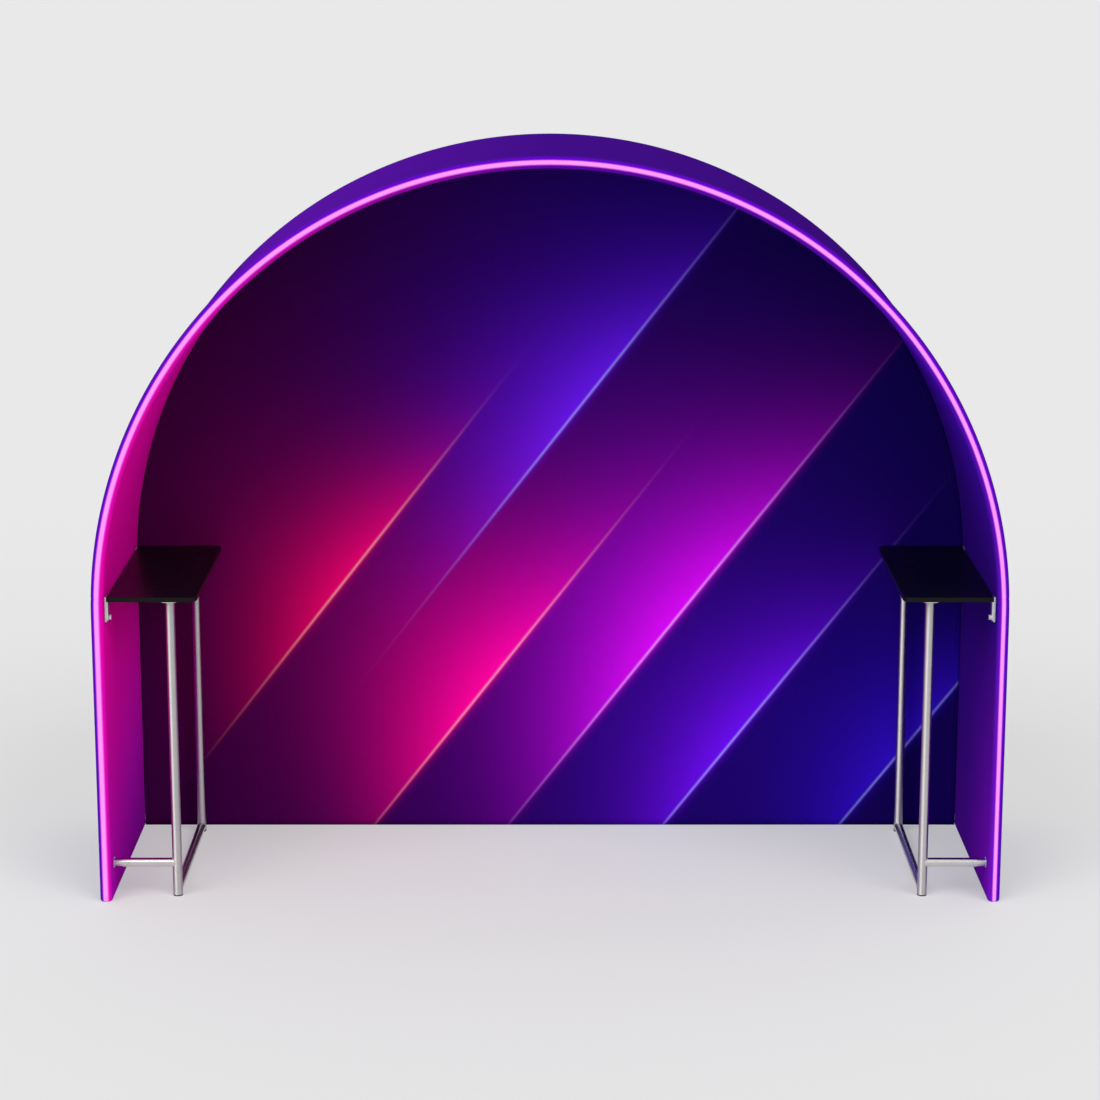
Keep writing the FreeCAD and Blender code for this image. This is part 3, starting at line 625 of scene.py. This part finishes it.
def swept(profile, path, across, out):
    """Points and faces of a closed outline, (across, out) pairs, carried along a path, with its ends."""
    profile = np.asarray(profile, float)
    count = len(profile)
    across = np.broadcast_to(across, path.shape)
    grid = path[:, None] + profile[None, :, :1] * across[:, None] + profile[None, :, 1:] * out[:, None]
    last = (len(path) - 1) * count
    faces = tube_faces(len(path), count)
    faces.append(tuple(range(count))[::-1])
    faces.append(tuple(last + j for j in range(count)))
    return list(grid.reshape(-1, 3)), faces


def gathered(lumps):
    """Several lists of points and faces as one."""
    points, faces = [], []
    for some_points, some_faces in lumps:
        shift = len(points)
        points += list(some_points)
        faces += [tuple(shift + c for c in f) for f in some_faces]
    return points, faces


def repeated(rows, pattern):
    """The points of all rows, with the pattern's faces for each row."""
    pattern = np.array(pattern)
    first = np.arange(len(rows))[:, None, None] * rows.shape[1]
    faces = (first + pattern[None]).reshape(-1, pattern.shape[1])
    return list(rows.reshape(-1, 3)), [tuple(int(c) for c in f) for f in faces]


BLOCK_FACES = ((0, 1, 3, 2), (4, 6, 7, 5), (0, 4, 5, 1), (2, 3, 7, 6), (0, 2, 6, 4), (1, 5, 7, 3))


def blocks(middle, across, along, out, top_share):
    """One block at each place, from its middle and half sizes as vectors, narrower at the top."""
    corners = []
    for h, share in ((-1, 1.0), (1, top_share)):
        for a in (-1, 1):
            for b in (-1, 1):
                corners.append(middle + h * out + share * (a * across + b * along))
    return repeated(np.stack(corners, axis=1), BLOCK_FACES)


def stitches(start, end, out):
    """One short bulge of thread from each start to each end, standing on a surface."""
    side = np.cross(end - start, out)
    side = side / np.linalg.norm(side, axis=1, keepdims=True)
    middle = (start + end) / 2
    ring = [middle + THREAD_R * (math.cos(t) * side + (THREAD_LIFT_SHARE + math.sin(t)) * out)
            for t in turns(THREAD_SIDES)]
    following = [(2 + i, 2 + (i + 1) % THREAD_SIDES) for i in range(THREAD_SIDES)]
    pattern = [(0, a, b) for a, b in following] + [(1, b, a) for a, b in following]
    return repeated(np.stack([start, end] + ring, axis=1), pattern)


def lengths(line):
    """How far along a polyline each of its points is."""
    gaps = np.linalg.norm(np.diff(line, axis=0), axis=1)
    return np.concatenate([[0], np.cumsum(gaps)])


def along_line(places, length, values):
    """Vectors at places along a polyline, between those of its points."""
    return np.stack([np.interp(places, length, values[:, c]) for c in range(3)], axis=1)


def stitched(line, out):
    """A row of stitches along a polyline with its outward directions."""
    length = lengths(line)
    starts = np.arange(0, length[-1] - STITCH, STITCH)
    ends = starts + STITCH_SHARE * STITCH
    outward = along_line(starts + STITCH / 2, length, out)
    return stitches(along_line(starts, length, line), along_line(ends, length, line), outward)


def path_at(u):
    """The middle of the arch's wall and its outward direction, u metres from the left foot."""
    angle = np.clip((u - SPRING) / HOOP_R, 0, math.pi)
    beyond = np.clip(u - SPRING - math.pi * HOOP_R, 0, None)
    low = SPRING - np.clip(u, None, SPRING)
    x = -HOOP_R * np.cos(angle)
    z = SPRING + HOOP_R * np.sin(angle) - low - beyond
    return x, z, -np.cos(angle), np.sin(angle)


def section_at(arc, half):
    """Offset from the middle of the wall, Y, and the outward direction, arc metres from the front rim."""
    a = np.abs(arc)
    front = np.clip(a / HALF, 0, math.pi / 2)
    flat = np.clip(a - RIM_ARC, 0, 2 * HOOP_Y)
    rear = np.clip((a - RIM_ARC - 2 * HOOP_Y) / HALF, 0, math.pi / 2)
    out = np.sign(arc) * np.sin(front) * np.cos(rear)
    back = np.sin(rear) - np.cos(front)
    return half * out, flat - HOOP_Y + half * back, out, back


def relief(u, arc, y):
    """How far the cloth stands off the smooth sleeve: sag between the hoops, seam dips and puckers."""
    angle = np.clip((u - SPRING) / HOOP_R, 0, math.pi)
    bent = np.clip(np.minimum(u - SEAM, PATH - SEAM - u) / SAG_RUN, 0, 1)
    bent = bent * bent * (3 - 2 * bent)
    middle = np.clip(1 - (y / HOOP_Y) ** 2, 0, 1) ** 2
    held = sum(np.exp(-((angle - turn) * HOOP_R / HELD_RUN) ** 2) for turn in SPREADER_TURNS)
    sag = np.where(arc > 0, -OUTER_SAG * (1 - HELD_SHARE * held), INNER_SAG) * middle * bent
    off = np.minimum(np.abs(u - SEAM), np.abs(u - PATH + SEAM))
    dip = -SEAM_DIP * np.exp(-(off / SEAM_DIP_RUN) ** 2)
    fade = np.exp(-off / PUCKER_RUN) * np.clip(off / PUCKER_START, 0, 1)
    return sag + dip + PUCKER * waves(arc, PUCKER_WAVES) * fade


def sleeve_at(u, arc, inset=0.0, lift=0.0):
    """Points on the sleeve's surface."""
    u, arc = np.broadcast_arrays(np.asarray(u, float), np.asarray(arc, float))
    x, z, nx, nz = path_at(u)
    offset, y, out, back = section_at(arc, HALF - inset)
    off = relief(u, arc, y) + lift
    side = offset + out * off
    return np.stack([x + nx * side, y + back * off, z + nz * side], axis=-1)


def girth_places():
    """Places around the sleeve, close together on the rims, from back round the inside to back."""
    rim = steps(0, RIM_ARC, RIM_STEP)
    flat = steps(RIM_ARC, RIM_ARC + 2 * HOOP_Y, FLAT_STEP)
    rear = steps(RIM_ARC + 2 * HOOP_Y, GIRTH / 2, RIM_STEP)
    side = np.concatenate([rim, flat[1:], rear[1:]])
    return np.concatenate([-side[::-1], side[1:]])


def foot_faces(ring, count):
    """Faces that close a ring of the sleeve, in strips from its inner to its outer side."""
    middle = count // 2
    faces = []
    for j in range(middle):
        corners = [middle - j, (middle + j) % count, (middle + j + 1) % count, middle - j - 1]
        kept = [c for n, c in enumerate(corners) if c not in corners[:n]]
        faces.append([ring * count + c for c in kept])
    return faces


def cloth_map(made, places):
    """Gives each corner of a mesh its place on the cloth, in metres."""
    layer = made.data.uv_layers.new(name="cloth")
    layer.data.foreach_set("uv", np.asarray(places, np.float32).ravel())


def sleeve(name, rings, node):
    """A length of the cover. rings lists (place along the path, inset of the section)."""
    arcs = girth_places()
    count = len(arcs) - 1
    along = np.array([u for u, inset in rings])
    insets = np.array([inset for u, inset in rings])
    grid = sleeve_at(along[:, None], arcs[None, :count], insets[:, None])
    faces = tube_faces(len(rings), count)
    places = []
    for near, far in zip(along[:-1], along[1:]):
        for first, second in zip(arcs[:-1], arcs[1:]):
            places += [(near, first), (near, second), (far, second), (far, first)]
    for ring, at_foot in ((0, along[0] < BASE_ROUND), (len(rings) - 1, along[-1] > PATH - BASE_ROUND)):
        if at_foot:
            for corners in foot_faces(ring, count):
                faces.append(corners if ring else corners[::-1])
                places += [(along[ring], arcs[0])] * len(corners)
    made = piece(name, (grid.reshape(-1, 3), faces), "arch_print")
    cloth_map(made, places)
    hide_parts(node)


def wall_rings():
    """Rings of the left wall's cover, from its rounded foot up to the seam."""
    rings = []
    for turn in np.linspace(0, math.pi / 2, BASE_RINGS):
        rings.append((BASE_ROUND * (1 - math.cos(turn)), BASE_ROUND * (1 - math.sin(turn))))
    rings += [(u, 0) for u in steps(BASE_ROUND, SEAM - SEAM_ZONE, WALL_STEP)[1:]]
    rings += [(u, 0) for u in steps(SEAM - SEAM_ZONE, SEAM, SEAM_STEP)[1:]]
    return rings


def build_arch():
    """The sleeve's three lengths, sewn together at the seams."""
    left = wall_rings()
    right = [(PATH - u, inset) for u, inset in left[::-1]]
    near = steps(SEAM, SEAM + SEAM_ZONE, SEAM_STEP)
    over = steps(SEAM + SEAM_ZONE, PATH - SEAM - SEAM_ZONE, CROWN_STEP)
    crown = [(u, 0) for u in np.concatenate([near, over[1:], PATH - near[::-1][1:]])]
    sleeve("left_wall_cloth", left, "left_wall_cover")
    sleeve("crown_cloth", crown, "crown_cover")
    sleeve("right_wall_cloth", right, "right_wall_cover")


def build_seams():
    """Two rows of thread beside each seam of the sleeve."""
    rows = []
    arcs = np.linspace(-GIRTH / 2, GIRTH / 2, SEAM_POINTS)
    for seam in (SEAM, PATH - SEAM):
        for u in (seam - SEAM_ROW, seam + SEAM_ROW):
            line = sleeve_at(u, arcs)
            raised = sleeve_at(u, arcs, lift=PROBE)
            rows.append(stitched(line, (raised - line) / PROBE))
    piece("seam_sewing", gathered(rows), "arch_print", THREAD)


def inner_path(low, step, inward, y):
    """A line round the inside of the arch, inward from the middle of its wall, and its directions."""
    u = np.concatenate([
        steps(low, SPRING, step),
        steps(SPRING, PATH - SPRING, ARC_STEP)[1:-1],
        steps(PATH - SPRING, PATH - low, step),
    ])
    x, z, nx, nz = path_at(u)
    path = np.stack([x - inward * nx, np.full_like(x, y), z - inward * nz], axis=1)
    return path, np.stack([-nx, np.zeros_like(nx), -nz], axis=1)


def zip_path(name):
    """Middle line of a zip on the cover with its outward directions."""
    low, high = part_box(name + "_zip_tape")
    middle_y = (low.y + high.y) / 2
    if name == "back":
        return inner_path(low.z, ZIP_STEP, HALF, middle_y)
    side = 1 if name == "right" else -1
    z = steps(low.z, high.z, ZIP_STEP)
    path = np.stack([np.full_like(z, side * R_OUT), np.full_like(z, middle_y), z], axis=1)
    return path, np.tile([side, 0.0, 0.0], (len(z), 1))


def zip_band(name, path, out):
    """The tape, a little thicker along its woven edges."""
    half = TAPE_WIDTH / 2
    inside = half - 2 * TAPE_EDGE
    ridge = half - TAPE_EDGE
    rise = TAPE_EDGE_SHARE * TAPE_THICK
    outline = [(-half, 0), (half, 0), (half, TAPE_THICK), (ridge, rise), (inside, TAPE_THICK),
               (-inside, TAPE_THICK), (-ridge, rise), (-half, TAPE_THICK)]
    return piece(name + "_zip_band", swept(outline, path, BACK, out), "zip_tape", smooth=False, closed=True)


def zip_teeth(name, path, out):
    """A cord along the tape and two rows of teeth on it that mesh."""
    length = lengths(path)
    cord = CORD_WIDTH / 2
    bed = [(-cord, TAPE_THICK), (cord, TAPE_THICK), (cord, CORD_TOP), (-cord, CORD_TOP)]
    lumps = [swept(bed, path, BACK, out)]
    wide = (CHAIN_WIDTH / 2 + TOOTH_LAP) / 2
    aside = (CHAIN_WIDTH / 2 - TOOTH_LAP) / 2
    rise = (CHAIN_TOP - CORD_TOP) / 2
    long = TOOTH_LENGTH_SHARE * TOOTH_PITCH
    for side, first in ((-1, TOOTH_PITCH), (1, TOOTH_PITCH / 2)):
        places = np.arange(first, length[-1] - TOOTH_PITCH / 2, TOOTH_PITCH)
        normal = along_line(places, length, out)
        run = np.cross(normal, BACK)
        middle = along_line(places, length, path) + normal * (CORD_TOP + rise) + side * aside * BACK
        lumps.append(blocks(middle, wide * BACK, long * run, rise * normal, TOOTH_TOP_SHARE))
    return piece(name + "_zip_teeth", gathered(lumps), "zip_metal", smooth=False, closed=True)


def zip_stops(name, path, out):
    """A stop at each end of the slider's run, which is as long on the back zip as on the others."""
    length = lengths(path)
    low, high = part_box("right_zip_tape")
    places = np.array([STOP_LENGTH / 2, high.z - low.z - STOP_LENGTH / 2])
    if name == "back":
        places = length[-1] - places
    normal = along_line(places, length, out)
    run = np.cross(normal, BACK)
    tall = (STOP_TOP - TAPE_THICK) / 2
    middle = along_line(places, length, path) + normal * (TAPE_THICK + tall)
    lump = blocks(middle, BACK * CHAIN_WIDTH / 2, run * STOP_LENGTH / 2, normal * tall, STOP_TOP_SHARE)
    return piece(name + "_zip_stops", lump, "zip_metal", smooth=False, closed=True)


def zip_sewing(name, path, out):
    """A row of thread along each side of the tape."""
    offset = TAPE_WIDTH / 2 - ZIP_ROW
    rows = [stitched(path + side * offset * BACK + out * TAPE_THICK, out) for side in (-1, 1)]
    return piece(name + "_zip_sewing", gathered(rows), "zip_tape", THREAD)


def build_zip(name):
    """A closed zip on the cover: tape, teeth, stops and thread."""
    path, out = zip_path(name)
    tape = zip_band(name, path, out)
    trim = [make(name, path, out) for make in (zip_teeth, zip_stops, zip_sewing)]
    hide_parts(name + "_zip_tape")


def skin_edge(t):
    """The back wall's edge from the left foot over the crown, t from 0 to 1 by length, and its spine."""
    u = t * SKIN_EDGE
    angle = np.clip((u - SKIN_LEG) / SKIN_R, 0, math.pi)
    up = np.minimum(np.clip(u, 0, SKIN_LEG), np.clip(SKIN_EDGE - u, 0, SKIN_LEG))
    x = -SKIN_R * np.cos(angle)
    return x, SKIN_FOOT + up + SKIN_R * np.sin(angle), SKIN_FOOT + up


def skin_at(t, k):
    """Points of the back wall's cloth: k runs from the spine, 0, to the edge, 1."""
    x, z, spine = skin_edge(t)
    px = x * k
    pz = spine + (z - spine) * k
    reach = np.hypot(x, z - spine) * (1 - k)
    fade = np.exp(-np.maximum(reach - HEM, 0) / SKIN_PUCKER_RUN) * np.clip(reach / HEM, 0, 1)
    pucker = SKIN_PUCKER * waves(t * SKIN_EDGE, SKIN_WAVES) * fade
    ridge = -HEM_RIDGE * np.exp(-((reach - HEM) / HEM_RIDGE_RUN) ** 2)
    inside = np.clip(reach / SKIN_BOW_RUN, 0, 1) * np.clip((pz - SKIN_BOW_FOOT) / SKIN_BOW_RUN, 0, 1)
    py = SKIN_Y + CLOTH / 2 + pucker + ridge + SKIN_BOW * inside ** 2
    return np.stack([px, py, pz], axis=-1)


def build_skin():
    """The back wall's cloth, made of rays from its spine to its edge, with its sewn-on pieces."""
    leg_share = SKIN_LEG / SKIN_EDGE
    ts = np.concatenate([
        steps(0, leg_share, EDGE_STEP_SHARE),
        steps(leg_share, 1 - leg_share, EDGE_STEP_SHARE)[1:],
        steps(1 - leg_share, 1, EDGE_STEP_SHARE)[1:],
    ])
    rim_shares = 1 - np.array(SKIN_RIM_STEPS) / SKIN_R
    ks = np.concatenate([steps(0, rim_shares[0], RAY_STEP_SHARE), rim_shares[1:]])
    grid = skin_at(ts[:, None], ks[None, :])
    rows, columns = grid.shape[:2]
    faces = []
    for i in range(rows - 1):
        for j in range(columns - 1):
            corner = i * columns + j
            faces.append((corner, corner + columns, corner + columns + 1, corner + 1))
    made = piece("back_wall_cloth", (grid.reshape(-1, 3), faces), "wall_print")
    made.data.materials.append(REVERSE)
    join = made.modifiers.new("join", "WELD")
    join.merge_threshold = JOIN_DISTANCE
    solid = made.modifiers.new("thickness", "SOLIDIFY")
    solid.thickness = CLOTH
    solid.offset = 0
    solid.material_offset = 1
    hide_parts("back_wall_skin")
    build_lap()
    build_pocket()
    build_hem()


def build_lap():
    """The edge of the back wall turned back along the sleeve, down to the zip's foot."""
    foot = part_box("back_zip_tape")[0].z
    path, out = inner_path(foot, LAP_STEP, HOOP_R - SKIN_R, SKIN_Y + CLOTH)
    depth = LAP - CLOTH
    lump = swept([(0, 0), (depth, 0), (depth, CLOTH), (0, CLOTH)], path, BACK, out)
    return piece("wall_lap", lump, "wall_print", REVERSE, smooth=False, closed=True)


def build_pocket():
    """The loop of cloth behind the back wall that holds the base rail."""
    inner = RAIL_R + POCKET_GAP
    outer = inner + CLOTH
    bends = np.linspace(-math.pi / 2, math.pi / 2, POCKET_POINTS)
    start = SKIN_Y + CLOTH - RAIL_Y
    outline = [(start, -outer)]
    outline += [(outer * math.cos(t), outer * math.sin(t)) for t in bends]
    outline += [(start, outer), (start, inner)]
    outline += [(inner * math.cos(t), inner * math.sin(t)) for t in bends[::-1]]
    outline += [(start, -inner)]
    half = R_OUT - PANEL - POCKET_END
    x = steps(-half, half, POCKET_STEP)
    path = np.stack([x, np.full_like(x, RAIL_Y), np.full_like(x, RAIL_Z)], axis=1)
    up = UP * (1 + waves(x, POCKET_WAVES) / inner)[:, None]
    return piece("rail_pocket", swept(outline, path, BACK, up), "wall_print", REVERSE, closed=True)


def build_hem():
    """Thread along the hem of the back wall."""
    t = np.linspace(0, 1, HEM_POINTS)
    x, z, spine = skin_edge(t)
    line = skin_at(t, 1 - HEM / np.hypot(x, z - spine))
    line[:, 1] -= CLOTH / 2
    return piece("hem_sewing", stitched(line, np.tile(-BACK, (len(t), 1))), "wall_print", THREAD)


def bead(curve):
    """A rippled bead along a closed curve."""
    run = np.roll(curve, -1, axis=0) - np.roll(curve, 1, axis=0)
    run /= np.linalg.norm(run, axis=1, keepdims=True)
    away = curve - curve.mean(axis=0)
    away -= run * (away * run).sum(axis=1, keepdims=True)
    away /= np.linalg.norm(away, axis=1, keepdims=True)
    side = np.cross(run, away)
    size = BEAD * (1 + RIPPLE_SHARE * np.sin(BEAD_SCALES * turns(len(curve))))
    ring = [curve + size[:, None] * (math.cos(t) * away + math.sin(t) * side) for t in turns(BEAD_SIDES)]
    points = np.stack(ring, axis=1).reshape(-1, 3)
    faces = [tuple(c % len(points) for c in f) for f in tube_faces(len(curve) + 1, BEAD_SIDES)]
    return list(points), faces


def build_welds():
    """Beads where the floor tubes and the struts meet the legs."""
    turn = turns(BEAD_SCALES * BEAD_SCALE_STEPS)
    for name, side in (("right", 1), ("left", -1)):
        low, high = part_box(name + "_leg_frame")
        leg_x = (low.x + high.x) / 2
        ends = (low.y + LEG_R, high.y - LEG_R)
        lumps = []
        for y, way in zip(ends, (1, -1)):
            dx = FLOOR_TUBE_R * np.cos(turn)
            dy = way * np.sqrt(LEG_R ** 2 - dx ** 2)
            z = FLOOR_TUBE_TOP - FLOOR_TUBE_R + FLOOR_TUBE_R * np.sin(turn)
            lumps.append(bead(np.stack([leg_x + dx, y + dy, z], axis=1)))
        strut_low, strut_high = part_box(name + "_strut")
        strut_r = (strut_high.z - strut_low.z) / 2
        dy = strut_r * np.cos(turn)
        dx = side * np.sqrt(LEG_R ** 2 - dy ** 2)
        z = strut_low.z + strut_r + strut_r * np.sin(turn)
        lumps.append(bead(np.stack([leg_x + dx, ends[0] + dy, z], axis=1)))
        piece(name + "_weld_beads", gathered(lumps), "satin_steel", closed=True)


def recess_outline():
    """A cross of four arms."""
    arm = [(RECESS_REACH, -RECESS_ARM), (RECESS_REACH, RECESS_ARM), (RECESS_ARM, RECESS_ARM)]
    cross = []
    for quarter in range(4):
        cross += arm
        arm = [(-b, a) for a, b in arm]
    return cross


def screw(low, high):
    """A screw with a cross recess, head down, inside the given box."""
    x, y = (low[0] + high[0]) / 2, (low[1] + high[1]) / 2
    length = high[2] - low[2]
    profile = [(HEAD_FLAT_R, 0), (HEAD_ROUND_R, HEAD_ROUND), (HEAD_R, HEAD_SIDE), (HEAD_R, HEAD_HEIGHT),
               (SHANK_R, HEAD_HEIGHT), (SHANK_R, length - POINT_LENGTH), (POINT_R, length)]
    points = [(x + r * math.cos(t), y + r * math.sin(t), low[2] + h)
              for r, h in profile for t in turns(SCREW_SIDES)]
    faces = tube_faces(len(profile), SCREW_SIDES)
    tip = (len(profile) - 1) * SCREW_SIDES
    faces.append(tuple(tip + j for j in range(SCREW_SIDES)))
    cross = recess_outline()
    count = len(cross)
    rim = len(points)
    points += [(x + a, y + b, low[2]) for a, b in cross]
    floor_z = low[2] + RECESS_DEPTH
    points += [(x + RECESS_FLOOR_SHARE * a, y + RECESS_FLOOR_SHARE * b, floor_z) for a, b in cross]
    names = list(range(SCREW_SIDES)) + [rim + j for j in range(count)]
    outer = [Vector(points[j]) for j in range(SCREW_SIDES)]
    hole = [Vector(points[rim + j]) for j in range(count)]
    faces += [tuple(names[c] for c in f) for f in tessellate_polygon([outer, hole])]
    faces += [tuple(rim + c for c in f) for f in tube_faces(2, count)]
    faces.append(tuple(rim + count + j for j in range(count)))
    return points, faces


def loose_boxes(node):
    """The boxes of a node's separate solids."""
    mesh = node.data
    places = np.array([node.matrix_world @ v.co for v in mesh.vertices])
    group = list(range(len(places)))

    def root(v):
        while group[v] != v:
            group[v] = group[group[v]]
            v = group[v]
        return v

    for edge in mesh.edges:
        a, b = edge.vertices
        group[root(a)] = root(b)
    roots = np.array([root(v) for v in range(len(places))])
    return [(places[roots == r].min(axis=0), places[roots == r].max(axis=0)) for r in np.unique(roots)]


def merged(boxes):
    """Boxes that touch or overlap, taken as one."""
    kept = []
    for low, high in boxes:
        for other in kept:
            if np.all(low <= other[1] + TOUCH) and np.all(high >= other[0] - TOUCH):
                other[0] = np.minimum(other[0], low)
                other[1] = np.maximum(other[1], high)
                break
        else:
            kept.append([low, high])
    return kept


def build_screws():
    """The wood screws under the tables, each in the place of its plain solid."""
    boxes = merged(loose_boxes(NODES["table_screws"]))
    lumps = [screw(low, high) for low, high in boxes]
    made = piece("table_screw_heads", gathered(lumps), "bright_metal", smooth=False, closed=True)
    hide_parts("table_screws")


def dress_nodes():
    """Gives every CAD node the material of its slot."""
    for node in NODES.values():
        for slot in node.material_slots:
            slot.material = MATERIALS[slot.material.name.split(".")[0]]


# Studio: a pale floor without an end, sky light and two broad soft suns from the front
BACKGROUND = srgb(233, 233, 233)
LIGHT = 1.15
SKY_SHARE = 0.6
SUN_HEIGHT = math.radians(36)
SUN_TURNS = (math.radians(-40), math.radians(40))
SUN_SPREAD = math.radians(40)
FLOOR_SIZE = 600.0
FLOOR_GLOW_SHARE = 0.4


def shown_rays(tree):
    """1 for the rays that show the background: the camera's, and those off metal or through glass."""
    rays = tree.nodes.new("ShaderNodeLightPath")
    shown = rays.outputs["Is Camera Ray"]
    for name in ("Is Glossy Ray", "Is Transmission Ray"):
        either = tree.nodes.new("ShaderNodeMath")
        either.operation = "MAXIMUM"
        tree.links.new(shown, either.inputs[0])
        tree.links.new(rays.outputs[name], either.inputs[1])
        shown = either.outputs[0]
    return shown


def build_floor():
    """The floor, lit like the rest but with a share of plain background in what the camera sees."""
    mesh = bpy.data.meshes.new("floor")
    s = FLOOR_SIZE
    mesh.from_pydata([(-s, -s, 0), (s, -s, 0), (s, s, 0), (-s, s, 0)], [], [(0, 1, 2, 3)])
    floor = bpy.data.objects.new("floor", mesh)
    bpy.context.scene.collection.objects.link(floor)
    shade = Shade("floor", roughness=0.9, specular=0.0)
    shade.colour((*(v / LIGHT for v in BACKGROUND[:3]), 1.0))
    glow = shade.node("ShaderNodeEmission", {"Color": BACKGROUND})
    share = shade.math("MULTIPLY", shown_rays(shade.tree), FLOOR_GLOW_SHARE)
    both = shade.node("ShaderNodeMixShader", {0: share, 1: shade.shader.outputs[0], 2: glow.outputs[0]})
    shade.tree.links.new(both.outputs[0], shade.tree.nodes["Material Output"].inputs[0])
    mesh.materials.append(shade.material)


def build_sky():
    """A white sky for the light, which shows as the plain background."""
    world = bpy.data.worlds.new("studio")
    bpy.context.scene.world = world
    world.use_nodes = True
    tree = world.node_tree
    shown = tree.nodes["Background"]
    shown.inputs["Color"].default_value = BACKGROUND
    sky = tree.nodes.new("ShaderNodeBackground")
    sky.inputs["Strength"].default_value = LIGHT * SKY_SHARE
    sky.inputs["Color"].default_value = (1, 1, 1, 1)
    choose = tree.nodes.new("ShaderNodeMixShader")
    tree.links.new(shown_rays(tree), choose.inputs[0])
    tree.links.new(sky.outputs[0], choose.inputs[1])
    tree.links.new(shown.outputs[0], choose.inputs[2])
    tree.links.new(choose.outputs[0], tree.nodes["World Output"].inputs[0])


def build_suns():
    for turn in SUN_TURNS:
        lamp = bpy.data.lights.new("sun", "SUN")
        lamp.energy = LIGHT * (1 - SKY_SHARE) * math.pi / math.sin(SUN_HEIGHT) / len(SUN_TURNS)
        lamp.angle = SUN_SPREAD
        sun = bpy.data.objects.new("sun", lamp)
        sun.rotation_euler = (math.pi / 2 - SUN_HEIGHT, 0, turn)
        # As in the photo, only the light from the left is seen in the metal
        sun.visible_glossy = turn < 0
        bpy.context.scene.collection.objects.link(sun)


# Camera, fitted to the photograph
PICTURE = 1100
FOCAL_PIXELS = 2961
CAMERA_DISTANCE = 9.373
CAMERA_HEIGHT = 3.295
CAMERA_PITCH = math.radians(12.58)


def build_camera():
    data = bpy.data.cameras.new("camera")
    data.lens = data.sensor_width * FOCAL_PIXELS / PICTURE
    data.clip_end = 3 * FLOOR_SIZE
    camera = bpy.data.objects.new("camera", data)
    camera.location = (0, -DEPTH / 2 - CAMERA_DISTANCE, CAMERA_HEIGHT)
    camera.rotation_euler = (math.pi / 2 - CAMERA_PITCH, 0, 0)
    bpy.context.scene.collection.objects.link(camera)
    bpy.context.scene.camera = camera


dress_nodes()
build_arch()
build_seams()
for zip_name in ("right", "left", "back"):
    build_zip(zip_name)
build_skin()
build_welds()
build_screws()
build_floor()
build_sky()
build_suns()
build_camera()
bpy.context.scene.view_settings.view_transform = "Standard"
